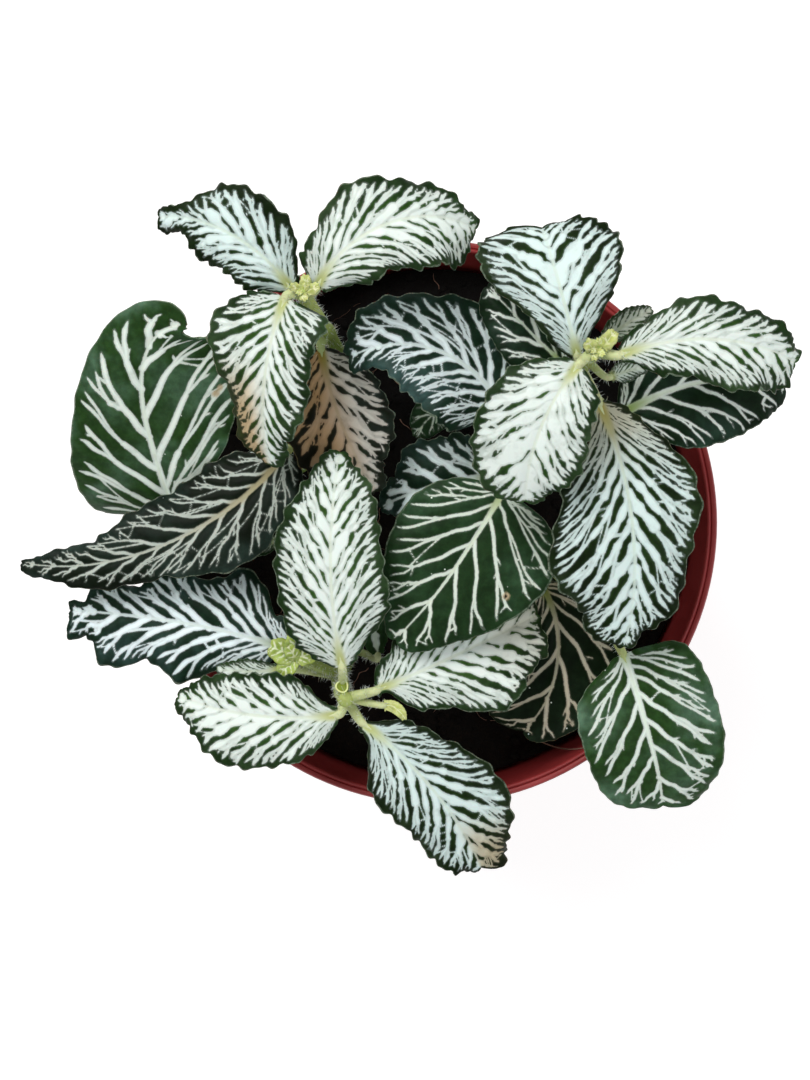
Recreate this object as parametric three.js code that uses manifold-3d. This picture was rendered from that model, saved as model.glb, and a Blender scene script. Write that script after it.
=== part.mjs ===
// A potted nerve plant: a round plastic nursery pot filled with soil, six leafy stems that stand in
// holes in the soil, and the broad wavy leaves that the stems carry.
// Millimetres, +Z up. The origin is the middle of the pot's underside, which rests on z = 0.

import * as THREE from 'three';
import { mergeVertices } from 'three/addons/utils/BufferGeometryUtils.js';
import Module from 'manifold-3d';

const wasm = await Module();
wasm.setup();

// Driving dimensions

const potHeight = 95;
const rimRadius = 60;
const lipWidth = 2.3;
const bandHeight = 13;
const bandStep = 2.4;
const baseRadius = 42;
const bandBottom = potHeight - bandHeight;
const wallThickness = 1.5;
const floorThickness = 1.8;
const floorRound = 0.4;
const wallBend = 3;
const grooveDepth = 1.4;
const grooveInner = 12;
const grooveOuter = 35;
const drainRadius = 4;
const drainCircle = 26;
const drainCount = 6;
const potSides = 44;

const soilTop = 83;
const soilBump = 1.1;
const soilSides = 30;
const soilRings = 6;
const rootDepth = 10;
const clearance = 0.3;

const bladeThickness = 0.8;
const ribThickness = 1.4;
const footHalfWidth = 1.2;
const tipHalfWidth = 0.4;
const squareFoot = 0.25;
const defaultFold = 8;
const defaultDroop = 1.5;
const smallDroop = 0.3;
const edgeOffset = 0.4;
const ribSteps = 96;
const bladeRows = 14;
const bladeColumns = 6;
const smallBladeRows = 6;
const smallBladeColumns = 4;

const stemSides = 8;
const petioleSides = 6;
const petioleRadius = 1.1;
const petioleSteps = 5;
const budShares = [0.8, 1, 1, 0.8, 0.5];
const budFold = 20;
const budCurl = 45;

const degree = Math.PI / 180;

// Each leaf: where its blade starts, its length, the turn and the pitch of its midrib at foot and tip,
// half widths on the left and right at five stations, how far its side veins lean towards the tip (left
// foot, right foot, left tip, right tip), its roll at foot and tip, and the waves of its edge (height,
// count, phase) with the lobes that they cut in its outline. A hook turns the last of the tip aside.

const leaves = {
  leaf_crown_left_a: { at: [-28, 44, 142], long: 32, turn: [125, 178], pitch: [26, -38],
    left: [5, 8, 7, 4, 3], right: [4, 8, 10, 3, 2.5], fan: [10, 10, 30, 30], roll: [-15, -10],
    wave: [1.2, 3, 0], lobe: 0.8, kind: 'young' },
  leaf_crown_left_b: { at: [-23, 44, 145], long: 39, turn: [61, -22], pitch: [35, -52],
    left: [5, 9, 9, 5, 3], right: [5, 9, 10, 10, 5], fan: [10, 10, 30, 30], roll: [0, 0],
    wave: [1.2, 4, 0], lobe: 0.8, kind: 'young' },
  leaf_crown_left_c: { at: [-29, 42, 145], long: 36, turn: [-112, -80], pitch: [3, -52],
    left: [8, 9, 8, 6, 3], right: [8, 12, 9, 6, 3], fan: [-15, -15, 35, 35], roll: [5, 34],
    wave: [1.2, 3, 0], lobe: 0.8, kind: 'young' },
  leaf_crown_left_d: { at: [-23, 34, 127], long: 31, turn: [-80, -58], pitch: [-4, -22],
    left: [4, 10, 10, 6, 3], right: [4, 9, 12, 8, 3], fan: [-5, -5, 40, 40], roll: [0, 0],
    wave: [1.2, 3, 0], lobe: 0.6, kind: 'tan' },
  leaf_crown_right_a: { at: [26, 31, 146], long: 27.5, turn: [107, 103], pitch: [38, -45],
    left: [3, 7, 13, 14, 9], right: [3, 9, 15, 11, 6], fan: [15, 15, 28, 28], roll: [0, 0],
    wave: [1.2, 3, 0], lobe: 0.6, kind: 'young' },
  leaf_crown_right_b: { at: [34, 31, 147], long: 37.5, turn: [20, -25], pitch: [26, -45],
    left: [3, 7, 8, 6, 4], right: [3, 7, 9.5, 9, 4.5], fan: [0, 0, 45, 45], roll: [0, 0],
    wave: [1.3, 4, 0], lobe: 0.6, kind: 'young' },
  leaf_crown_right_c: { at: [26, 29, 149], long: 31, turn: [-130, -88], pitch: [3, -50],
    left: [5, 9, 10, 8, 4], right: [5, 10, 13, 9, 4], fan: [-10, -10, 40, 40], roll: [0, 0],
    wave: [1.2, 3, 0], lobe: 0.6, kind: 'young' },
  leaf_crown_right_d: { at: [31, 23, 135], long: 51, turn: [-66, -100], pitch: [7, -32],
    left: [4, 12, 13, 8.5, 3], right: [5, 13, 17, 12, 5], fan: [-5, -5, 45, 45], roll: [0, 0],
    wave: [1.3, 4, 0], lobe: 1, kind: 'young' },
  leaf_crown_front_a: { at: [-19, -29, 121], long: 44.5, turn: [101, 80], pitch: [33, -12],
    left: [5, 10.5, 11, 8, 3.5], right: [5, 10.5, 11, 8, 3.5], fan: [-5, -5, 40, 40], roll: [0, 0],
    wave: [1.2, 3, 0], lobe: 0.6, kind: 'young' },
  leaf_crown_front_b: { at: [-12, -34, 117], long: 37, turn: [22, 27], pitch: [-14, -12],
    left: [4, 10, 11, 9, 4], right: [2, 9, 14, 11, 4], fan: [-5, -5, 40, 40], roll: [0, 0],
    wave: [1.2, 4, 0], lobe: 1, kind: 'young' },
  leaf_crown_front_c: { at: [-20, -39, 117], long: 34, turn: [-174, -198], pitch: [12, -27],
    left: [4, 10, 11, 7.5, 3], right: [3, 8, 9, 6, 3], fan: [0, 0, 35, 35], roll: [0, 0],
    wave: [1.2, 3, 0], lobe: 0.6, kind: 'young' },
  leaf_crown_front_d: { at: [-15, -41, 113], long: 42, turn: [-36, -68], pitch: [10, -36],
    left: [2, 9, 12, 11, 6], right: [3, 9, 11, 8, 5], fan: [-5, -5, 45, 45], roll: [0, 0],
    wave: [1.2, 3, 0], lobe: 1.2, kind: 'young' },
  leaf_old_left: { at: [-53.9, 1.6, 107.2], long: 50.5, turn: [107, 92], pitch: [37, 28],
    left: [15, 18, 14.8, 9.5, 4.5], right: [4, 17, 22, 15, 3], fan: [-20, 6, 20, 48], roll: [-26, 20],
    wave: [0.8, 2, 0], lobe: 0.4, hook: -115, kind: 'green' },
  leaf_long_left: { at: [-30, 14, 120.5], long: 63, turn: [-128, -188], pitch: [0, -18],
    left: [7, 11, 7, 5, 3], right: [6, 10, 9, 5, 2], fan: [-5, -5, 40, 40], roll: [12, 0],
    wave: [1, 4, 0], lobe: 0.5, kind: 'dark' },
  leaf_silver_left: { at: [-30, -26, 111], long: 47, turn: [163, 178], pitch: [-5, -10],
    left: [4, 9, 11, 10, 5], right: [6, 12, 10, 7, 3], fan: [-5, -5, 35, 35], roll: [0, 0],
    wave: [1, 5, 0.42], lobe: 1.8, kind: 'silver' },
  leaf_old_middle: { at: [13, 6, 124], long: 37, turn: [-118, -133], pitch: [-6, -10],
    left: [11, 17, 15, 9, 4], right: [9, 15, 14, 9, 4], fan: [-10, -10, 40, 40], roll: [0, 0],
    wave: [0.8, 2, 0], lobe: 0.4, kind: 'old' },
  leaf_young_middle: { at: [11, 9, 112], long: 24, turn: [-179, -150], pitch: [10, -25],
    left: [4, 7, 8, 6, 2], right: [6, 10, 9, 5, 2], fan: [0, 0, 30, 30], roll: [0, 0],
    wave: [1, 4, 0], lobe: 0.8, kind: 'silver' },
  leaf_net_back: { at: [13, 21, 126], long: 37, turn: [112, 206], pitch: [26, -8],
    left: [9, 13, 10, 6, 4], right: [6, 12, 12, 9, 4], fan: [-5, -5, 45, 45], roll: [15, 0],
    wave: [1.2, 3, 0], lobe: 0.6, kind: 'silver' },
  leaf_old_back: { at: [24, 30, 137], long: 21, turn: [136, 132], pitch: [10, -12],
    left: [4, 7, 7, 5, 2], right: [5, 8, 8, 5, 2], fan: [0, 0, 40, 40], roll: [0, 0],
    wave: [0.6, 2, 0], lobe: 0.3, kind: 'old' },
  leaf_old_right: { at: [36, 21, 131], long: 34.5, turn: [32, -12], pitch: [16, -28],
    left: [5, 11, 12, 9, 5], right: [6, 12, 12, 9, 5], fan: [-5, -5, 40, 40], roll: [0, 0],
    wave: [0.7, 2, 0], lobe: 0.3, kind: 'old' },
  leaf_old_corner: { at: [38, -27, 113], long: 35.5, turn: [-70, -78], pitch: [9, -40],
    left: [10, 15, 15, 13, 8], right: [5, 12, 14, 11, 5], fan: [-15, -15, 30, 30], roll: [0, 0],
    wave: [0.8, 3, 0], lobe: 0.5, kind: 'green' },
  leaf_dark_corner: { at: [22, -13, 101], long: 34, turn: [-58, -135], pitch: [0, -15],
    left: [6, 12, 13, 9, 4], right: [5, 12, 14, 13, 8], fan: [-5, -5, 40, 40], roll: [0, 0],
    wave: [0.7, 2, 0], lobe: 0.3, kind: 'old' },
  leaf_small_back: { at: [4, 26, 110], long: 12, turn: [215, 235], pitch: [0, -20],
    left: [2, 4, 4, 3, 1], right: [2, 4, 4, 3, 1], fan: [0, 0, 35, 35], roll: [0, 0],
    wave: [0.3, 2, 0], lobe: 0.2, small: true, kind: 'old' },
  leaf_small_right: { at: [32, 35, 137], long: 11, turn: [35, 30], pitch: [5, -20],
    left: [1.5, 2.5, 3, 2, 1], right: [1.5, 2.5, 3, 2, 1], fan: [0, 0, 35, 35], roll: [0, 0],
    wave: [0.3, 2, 0], lobe: 0.2, small: true, kind: 'tan' },
  leaf_small_node: { at: [33, 27.5, 139], long: 7, turn: [25, 5], pitch: [5, -10],
    left: [1, 2, 2, 1.5, 1], right: [1, 2, 2, 1.5, 1], fan: [0, 0, 35, 35], roll: [0, 0],
    wave: [0.2, 2, 0], lobe: 0.1, small: true, kind: 'young' },
  leaf_small_left: { at: [-32, -30, 113.5], long: 13, turn: [188, 172], pitch: [0, -15],
    left: [1.5, 2.5, 3, 2.5, 1], right: [1.2, 2, 2.5, 2, 1], fan: [0, 0, 35, 35], roll: [0, 0],
    wave: [0.3, 2, 0], lobe: 0.2, small: true, kind: 'young' },
  leaf_small_front: { at: [-12, -27, 110], long: 9, turn: [100, 95], pitch: [0, -10],
    left: [1.5, 2.5, 3, 2, 1], right: [1.5, 2.5, 3, 2, 1], fan: [0, 0, 35, 35], roll: [0, 0],
    wave: [0.3, 2, 0], lobe: 0.2, small: true, kind: 'lime' },
  leaf_small_hidden: { at: [-33, -4, 105], long: 11, turn: [188, 180], pitch: [0, -10],
    left: [1.5, 2.5, 2.5, 2, 1], right: [1.5, 2.5, 2.5, 2, 1], fan: [0, 0, 35, 35], roll: [0, 0],
    wave: [0.3, 2, 0], lobe: 0.2, small: true, kind: 'old' },
  leaf_small_bract: { at: [-10.6, -37.2, 115.4], long: 5, turn: [-25, -35], pitch: [5, -20],
    left: [1.2, 2, 2, 1.5, 0.8], right: [1, 1.5, 1.5, 1, 0.6], fan: [0, 0, 30, 30], roll: [0, 0],
    wave: [0.1, 1, 0], lobe: 0, small: true, kind: 'lime' },
};

// Each stem: its way up from the soil, the leaves whose stalks leave it at a given height, the short
// side shoots, and the pale leaflets of the bud at its end (place, length, turn, pitch, half width).

const stems = {
  stem_back_left: {
    route: [[-18, 30, 86], [-18.5, 32, 104], [-21.5, 37, 124], [-25, 42, 141], [-25.7, 43.2, 146.5]],
    radius: 1.5,
    stalks: [
      { leaf: 'leaf_crown_left_a', from: [-25.4, 42.6, 143], bend: 1 },
      { leaf: 'leaf_crown_left_b', from: [-25.2, 42.5, 143.5], bend: 1 },
      { leaf: 'leaf_crown_left_c', from: [-25.6, 43, 145], bend: 1 },
      { leaf: 'leaf_crown_left_d', from: [-21.8, 37.4, 125.6], bend: 1.5 },
    ],
    buds: [
      { at: [-25.2, 43.6, 146], long: 6, turn: 80, pitch: 60, half: 1.9 },
      { at: [-25.2, 42.8, 146], long: 6.5, turn: 20, pitch: 48, half: 1.9 },
      { at: [-26.2, 43.4, 146], long: 5, turn: 160, pitch: 66, half: 1.6 },
      { at: [-25.8, 42.6, 146], long: 4.5, turn: -60, pitch: 64, half: 1.4 },
    ],
  },
  stem_left: {
    route: [[-24, 12, 86], [-24.5, 13, 98], [-26, 15.5, 110], [-27.5, 17.5, 116.5]],
    radius: 1.5,
    stalks: [
      { leaf: 'leaf_long_left', from: [-27.2, 17, 115.5], bend: 1.5 },
      { leaf: 'leaf_old_left', from: [-24.6, 13.2, 100], bend: 9 },
      { leaf: 'leaf_small_hidden', from: [-24.4, 12.6, 95], bend: 3 },
    ],
    buds: [],
  },
  stem_front: {
    route: [[-17, -24, 86], [-18.5, -28, 98], [-20, -33, 108], [-18.6, -35.6, 115], [-18.4, -35.8, 118]],
    radius: 1.5,
    stalks: [
      { leaf: 'leaf_crown_front_a', from: [-19, -34.6, 114.5], bend: 1.5 },
      { leaf: 'leaf_crown_front_b', from: [-18.4, -35.6, 116], bend: 1.5 },
      { leaf: 'leaf_crown_front_c', from: [-18.6, -36, 115.5], bend: 1 },
      { leaf: 'leaf_crown_front_d', from: [-18.6, -35.7, 113], bend: 1 },
      { leaf: 'leaf_silver_left', from: [-19, -29, 101], bend: 4 },
      { leaf: 'leaf_small_left', from: [-19.6, -32, 106.5], bend: 3 },
      { leaf: 'leaf_small_front', from: [-18.2, -27.2, 96], bend: 3 },
      { leaf: 'leaf_small_bract', from: [-18.6, -35.8, 114.6], bend: 1 },
    ],
    buds: [
      { at: [-18.4, -36, 117], long: 7.5, turn: -12, pitch: 12, half: 1.6 },
      { at: [-18.8, -35.4, 117.4], long: 3, turn: 120, pitch: 60, half: 1.3 },
    ],
  },
  stem_back_right: {
    route: [[22, 22, 86], [23, 25, 104], [26, 28.5, 124], [29, 31.6, 141], [29.8, 32.4, 147]],
    radius: 1.6,
    stalks: [
      { leaf: 'leaf_crown_right_a', from: [29.2, 31.8, 144.5], bend: 1 },
      { leaf: 'leaf_crown_right_b', from: [29.3, 31.9, 145], bend: 1 },
      { leaf: 'leaf_crown_right_c', from: [29.6, 32.3, 146.4], bend: 1 },
      { leaf: 'leaf_crown_right_d', from: [27.6, 30, 133], bend: 2 },
      { leaf: 'leaf_old_back', from: [27.8, 30.2, 135], bend: 1 },
      { leaf: 'leaf_old_right', from: [26.4, 29, 127], bend: 2.5 },
      { leaf: 'leaf_small_right', from: [28.6, 31.2, 138.6], bend: 1 },
      { leaf: 'leaf_small_node', from: [28.4, 31, 137.4], bend: 1.5 },
    ],
    buds: [
      { at: [28.8, 32, 147], long: 5.5, turn: 135, pitch: 75, half: 2 },
      { at: [30.8, 32.6, 147], long: 6.5, turn: 50, pitch: 52, half: 2.1 },
      { at: [29.8, 31.8, 147], long: 3, turn: -50, pitch: 60, half: 1.2 },
    ],
  },
  stem_middle: {
    route: [[12, 14, 86], [13, 15, 98], [15, 16, 110], [16, 15, 119], [16.5, 13.5, 123]],
    radius: 1.5,
    stalks: [
      { leaf: 'leaf_old_middle', from: [16.2, 14, 121.6], bend: 1.5 },
      { leaf: 'leaf_young_middle', from: [14.4, 15.8, 107.5], bend: 1.5 },
      { leaf: 'leaf_net_back', from: [15.6, 15.6, 116.5], bend: 2 },
      { leaf: 'leaf_small_back', from: [13.6, 15.3, 102], bend: 3 },
    ],
    buds: [
      { at: [16.5, 13.8, 122], long: 4, turn: 60, pitch: 65, half: 1.3 },
    ],
  },
  stem_right: {
    route: [[25, -6, 86], [25, -6.5, 92], [24.6, -8, 98], [24, -9.6, 103]],
    radius: 1.4,
    stalks: [
      { leaf: 'leaf_dark_corner', from: [24.3, -8.8, 99.6], bend: 1 },
      { leaf: 'leaf_old_corner', from: [24.1, -9.2, 102], bend: 6 },
    ],
    buds: [
      { at: [24, -9.6, 102.4], long: 4, turn: 100, pitch: 60, half: 1.3 },
    ],
  },
};

// Colours

const leafColours = {
  young: 0xb9c4b0,
  tan: 0xa59f83,
  green: 0x4a7a4a,
  old: 0x2f5a3c,
  dark: 0x33513f,
  silver: 0x5f8078,
  lime: 0xc6cf86,
};
const potColour = 0x8c2d2f;
const soilColour = 0x1c1411;
const stemColour = 0x8f9a5a;

// Meshes to solids and back

function closedGeometry(geometry) {
  geometry.deleteAttribute('normal');
  geometry.deleteAttribute('uv');
  const merged = mergeVertices(geometry, 1e-4);
  const index = merged.index.array;
  const kept = [];
  for (let i = 0; i < index.length; i += 3) {
    const [a, b, c] = [index[i], index[i + 1], index[i + 2]];
    if (a !== b && b !== c && c !== a) kept.push(a, b, c);
  }
  merged.setIndex(kept);
  return merged;
}

function solidFrom(geometry) {
  const closed = closedGeometry(geometry);
  return new wasm.Manifold(new wasm.Mesh({
    numProp: 3,
    vertProperties: new Float32Array(closed.attributes.position.array),
    triVerts: new Uint32Array(closed.index.array),
  }));
}

function geometryFrom(solid) {
  const mesh = solid.getMesh();
  const geometry = new THREE.BufferGeometry();
  geometry.setAttribute('position', new THREE.BufferAttribute(mesh.vertProperties.slice(), 3));
  geometry.setIndex(new THREE.BufferAttribute(mesh.triVerts.slice(), 1));
  geometry.computeVertexNormals();
  return geometry;
}

function piece(name, geometry, colour, roughness) {
  const material = new THREE.MeshStandardMaterial({ color: colour, roughness, metalness: 0 });
  const mesh = new THREE.Mesh(geometry, material);
  mesh.name = name;
  return mesh;
}

function cylinder(radius, low, high, x, y, sides = 8) {
  const geometry = new THREE.CylinderGeometry(radius, radius, high - low, sides);
  geometry.rotateX(Math.PI / 2);
  geometry.translate(x, y, (low + high) / 2);
  return solidFrom(geometry);
}

// Pot: a tapered wall under a wider band, a lip with a bead round its inner edge, and a floor that
// stands on an outer ring and a middle disc, with drain holes in the shallow groove between them

function wallRadius(z) {
  return THREE.MathUtils.lerp(baseRadius, rimRadius - bandStep, z / bandBottom);
}

function makePot() {
  const inner = rimRadius - lipWidth;
  const profile = [
    [0, 0], [grooveInner, 0], [grooveInner + 1, grooveDepth],
    [grooveOuter - 1, grooveDepth], [grooveOuter, 0],
    [baseRadius - 1, 0], [wallRadius(1), 1],
    [wallRadius(bandBottom), bandBottom], [rimRadius - 0.6, bandBottom + 1],
    [rimRadius, potHeight - 1.2], [rimRadius - 0.5, potHeight - 0.3],
    [inner + 1, potHeight - 0.5], [inner + 0.5, potHeight], [inner, potHeight - 0.4],
    [wallRadius(bandBottom) - wallThickness, bandBottom - wallBend],
    [wallRadius(floorThickness) - wallThickness - floorRound, grooveDepth + floorThickness],
    [0, grooveDepth + floorThickness],
  ];
  const geometry = new THREE.LatheGeometry(profile.map(([r, z]) => new THREE.Vector2(r, z)), potSides);
  geometry.rotateX(Math.PI / 2);
  let solid = solidFrom(geometry);
  for (let i = 0; i < drainCount; i++) {
    const angle = i / drainCount * 2 * Math.PI;
    const [x, y] = [drainCircle * Math.cos(angle), drainCircle * Math.sin(angle)];
    solid = solid.subtract(cylinder(drainRadius, -1, grooveDepth + floorThickness + 1, x, y));
  }
  return geometryFrom(solid);
}

// Soil: a plug with an uneven top that keeps clear of the wall, and a plain hole for each stem

function soilHeight(x, y) {
  const slow = Math.sin(0.13 * x + 1.7) * Math.cos(0.11 * y - 0.6);
  const quick = Math.sin(0.43 * x - 0.31 * y) * Math.cos(0.37 * x + 0.29 * y + 1);
  return soilTop + soilBump * (slow + 0.5 * quick);
}

function makeSoil() {
  const low = grooveDepth + floorThickness + clearance;
  const innerRadius = (z) => THREE.MathUtils.lerp(
    wallRadius(floorThickness) - wallThickness - floorRound, wallRadius(bandBottom) - wallThickness,
    (z - grooveDepth - floorThickness) / (bandBottom - wallBend - grooveDepth - floorThickness));
  const brim = Math.min(innerRadius(soilTop - 2), wallRadius(bandBottom) - wallThickness) - 2 * clearance;
  const points = [[0, low], [innerRadius(low) - 2 * clearance, low]];
  for (let ring = soilRings; ring >= 0; ring--) {
    points.push([brim * ring / soilRings, soilTop]);
  }
  const geometry = new THREE.LatheGeometry(points.map(([r, z]) => new THREE.Vector2(r, z)), soilSides);
  geometry.rotateX(Math.PI / 2);
  const position = geometry.attributes.position;
  for (let i = 0; i < position.count; i++) {
    if (position.getZ(i) > low + 1) position.setZ(i, soilHeight(position.getX(i), position.getY(i)));
  }
  let solid = solidFrom(geometry);
  for (const { route, radius } of Object.values(stems)) {
    const [x, y] = route[0];
    solid = solid.subtract(cylinder(radius + clearance, soilTop - rootDepth, soilTop + 10, x, y));
  }
  return geometryFrom(solid);
}

// Leaves

function halfWidth(widths, station) {
  const knots = [footHalfWidth, ...widths, tipHalfWidth];
  const curve = new THREE.SplineCurve(knots.map((width, i) => new THREE.Vector2(i, width)));
  return curve.getPoint(station).y;
}

function ribFrame(leaf, u) {
  const turn = degree * (THREE.MathUtils.lerp(...leaf.turn, u) + (leaf.hook ?? 0) * u ** 5);
  const pitch = degree * THREE.MathUtils.lerp(...leaf.pitch, u);
  const roll = degree * THREE.MathUtils.lerp(...leaf.roll, u);
  const ahead = new THREE.Vector3(
    Math.cos(pitch) * Math.cos(turn), Math.cos(pitch) * Math.sin(turn), Math.sin(pitch));
  const level = new THREE.Vector3(Math.sin(turn), -Math.cos(turn), 0);
  const above = new THREE.Vector3().crossVectors(level, ahead);
  const side = level.clone().multiplyScalar(Math.cos(roll)).addScaledVector(above, -Math.sin(roll));
  const up = above.clone().multiplyScalar(Math.cos(roll)).addScaledVector(level, Math.sin(roll));
  return { ahead, side, up };
}

// The midrib as evenly spaced points, followed in short steps along its own direction
function ribPoints(leaf) {
  const points = [new THREE.Vector3(...leaf.at)];
  for (let i = 0; i < ribSteps; i++) {
    const { ahead } = ribFrame(leaf, (i + 0.5) / ribSteps);
    points.push(points[i].clone().addScaledVector(ahead, leaf.long / ribSteps));
  }
  return points;
}

function ribPoint(points, u) {
  const place = u * (points.length - 1);
  const low = Math.min(Math.floor(place), points.length - 2);
  return points[low].clone().lerp(points[low + 1], place - low);
}

// A point of the blade's middle surface: station runs from 0 at the foot to 1 at the tip, and across
// from -1 at the left edge over 0 at the midrib to 1 at the right edge. The droop and the waves fade
// where the blade is narrow, and the right edge's waves run a little behind the left edge's.
function bladePoint(leaf, rib, station, across) {
  const u = (1 - Math.cos(Math.PI * station)) / 2;
  const { ahead, side, up } = ribFrame(leaf, u);
  const hand = across < 0 ? -1 : 1;
  const out = Math.abs(across);
  const widths = hand < 0 ? leaf.left : leaf.right;
  const plain = halfWidth(widths, station);
  const near = Math.min(1, 1.6 * plain / Math.max(...widths));
  const [height, count, phase] = leaf.wave;
  const turns = 2 * Math.PI * (count * station + phase + (hand < 0 ? edgeOffset : 0));
  const width = out * (plain + leaf.lobe * out ** 2 * Math.cos(turns) * Math.min(1, plain / 4));
  const [footLean, tipLean] = hand < 0 ? [leaf.fan[0], leaf.fan[2]] : [leaf.fan[1], leaf.fan[3]];
  const settled = THREE.MathUtils.smoothstep(station, 0, squareFoot);
  const lean = degree * THREE.MathUtils.lerp(footLean, tipLean, u) * settled;
  const fold = (leaf.fold ?? defaultFold) * degree;
  const droop = leaf.droop ?? (leaf.small ? smallDroop : defaultDroop);
  const lift = width * Math.tan(fold) * (1 - 0.5 * out)
    - droop * near * out ** 2
    + height * near * out ** 3 * Math.sin(turns);
  return ribPoint(rib, u)
    .addScaledVector(side, hand * width * Math.cos(lean))
    .addScaledVector(ahead, width * Math.sin(lean))
    .addScaledVector(up, lift);
}

// A closed blade: the same grid above and below, every cell cut along the same diagonal on both faces
function makeBlade(leaf) {
  const rows = leaf.rows ?? (leaf.small ? smallBladeRows : bladeRows);
  const columns = leaf.columns ?? (leaf.small ? smallBladeColumns : bladeColumns);
  const rib = ribPoints(leaf);
  const grid = [];
  for (let i = 0; i <= rows; i++) {
    const row = [];
    for (let j = 0; j <= columns; j++) row.push(bladePoint(leaf, rib, i / rows, 2 * j / columns - 1));
    grid.push(row);
  }
  const wide = columns + 1;
  const count = (rows + 1) * wide;
  const above = [];
  const below = [];
  for (let i = 0; i <= rows; i++) {
    const { up } = ribFrame(leaf, (1 - Math.cos(Math.PI * i / rows)) / 2);
    for (let j = 0; j <= columns; j++) {
      const onRib = Math.max(0, 1 - Math.abs(2 * j / columns - 1) * columns / 2);
      const depth = THREE.MathUtils.lerp(bladeThickness, ribThickness, onRib * (1 - i / rows));
      above.push(grid[i][j].clone().addScaledVector(up, bladeThickness / 2));
      below.push(grid[i][j].clone().addScaledVector(up, bladeThickness / 2 - depth));
    }
  }
  const faces = [];
  for (let i = 0; i < rows; i++) {
    for (let j = 0; j < columns; j++) {
      const [a, b, c, d] = [i * wide + j, i * wide + j + 1, (i + 1) * wide + j + 1, (i + 1) * wide + j];
      const cut = j < columns / 2 ? [[a, b, d], [b, c, d]] : [[a, b, c], [a, c, d]];
      for (const [p, q, r] of cut) {
        faces.push(p, q, r);
        faces.push(count + p, count + r, count + q);
      }
    }
  }
  const edge = [];
  for (let j = 0; j < columns; j++) edge.push(j);
  for (let i = 0; i < rows; i++) edge.push(i * wide + columns);
  for (let j = columns; j > 0; j--) edge.push(rows * wide + j);
  for (let i = rows; i > 0; i--) edge.push(i * wide);
  edge.forEach((p, k) => {
    const q = edge[(k + 1) % edge.length];
    faces.push(q, p, count + p);
    faces.push(q, count + p, count + q);
  });
  const geometry = new THREE.BufferGeometry();
  const places = [...above, ...below].flatMap((point) => point.toArray());
  geometry.setAttribute('position', new THREE.Float32BufferAttribute(places, 3));
  geometry.setIndex(faces);
  geometry.computeVertexNormals();
  return geometry;
}

// Stems: a tube up from the soil, a stalk to the foot of each leaf, and the bud's leaflets

function tube(curve, radius, steps, sides) {
  const section = new THREE.Shape();
  for (let i = 0; i < sides; i++) {
    const angle = i / sides * 2 * Math.PI;
    const [x, y] = [radius * Math.cos(angle), radius * Math.sin(angle)];
    if (i) section.lineTo(x, y);
    else section.moveTo(x, y);
  }
  section.closePath();
  return solidFrom(new THREE.ExtrudeGeometry(section, { steps, extrudePath: curve, curveSegments: sides }));
}

function stalkCurve(stalk) {
  const leaf = leaves[stalk.leaf];
  const { ahead } = ribFrame(leaf, 0);
  const start = new THREE.Vector3(...stalk.from);
  const end = new THREE.Vector3(...leaf.at).addScaledVector(ahead, -clearance);
  const reach = start.distanceTo(end);
  const leave = end.clone().sub(start).setZ(0).normalize();
  return new THREE.CubicBezierCurve3(
    start,
    start.clone().addScaledVector(leave, 0.3 * reach),
    end.clone().addScaledVector(ahead, -Math.min(stalk.bend, 0.45 * reach)),
    end);
}

function makeStem({ route, radius, stalks, buds }) {
  const foot = new THREE.Vector3(route[0][0], route[0][1], soilTop - rootDepth + clearance);
  const middle = new THREE.Vector3(route[0][0], route[0][1], soilTop - rootDepth / 2);
  const way = new THREE.CatmullRomCurve3([foot, middle, ...route.map((p) => new THREE.Vector3(...p))]);
  let solid = tube(way, radius, 2 * route.length + 4, stemSides);
  for (const stalk of stalks) {
    solid = solid.add(tube(stalkCurve(stalk), petioleRadius, petioleSteps, petioleSides));
  }
  for (const bud of buds) {
    const widths = budShares.map((share) => share * bud.half);
    solid = solid.add(solidFrom(makeBlade({
      at: bud.at, long: bud.long, turn: [bud.turn, bud.turn], pitch: [bud.pitch, bud.pitch - budCurl],
      left: widths, right: widths, fan: [0, 0, 20, 20], roll: [0, 0], wave: [0, 1, 0], lobe: 0,
      fold: budFold, droop: 0.2, rows: 5, columns: 2,
    })));
  }
  return geometryFrom(solid);
}

const plant = new THREE.Group();
plant.add(piece('pot', makePot(), potColour, 0.45));
plant.add(piece('soil', makeSoil(), soilColour, 0.95));
for (const [name, stem] of Object.entries(stems)) {
  plant.add(piece(name, makeStem(stem), stemColour, 0.6));
}
for (const [name, leaf] of Object.entries(leaves)) {
  plant.add(piece(name, makeBlade(leaf), leafColours[leaf.kind], 0.5));
}

export default plant;
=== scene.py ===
# Potted nerve plant: finely veined leaves, hairy stems, crumbly soil and a red nursery pot.
# The leaf table and the stem table repeat the sizes of the solid model, in millimetres.

import math

import bpy
import numpy as np
from mathutils import Matrix, Vector


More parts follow.
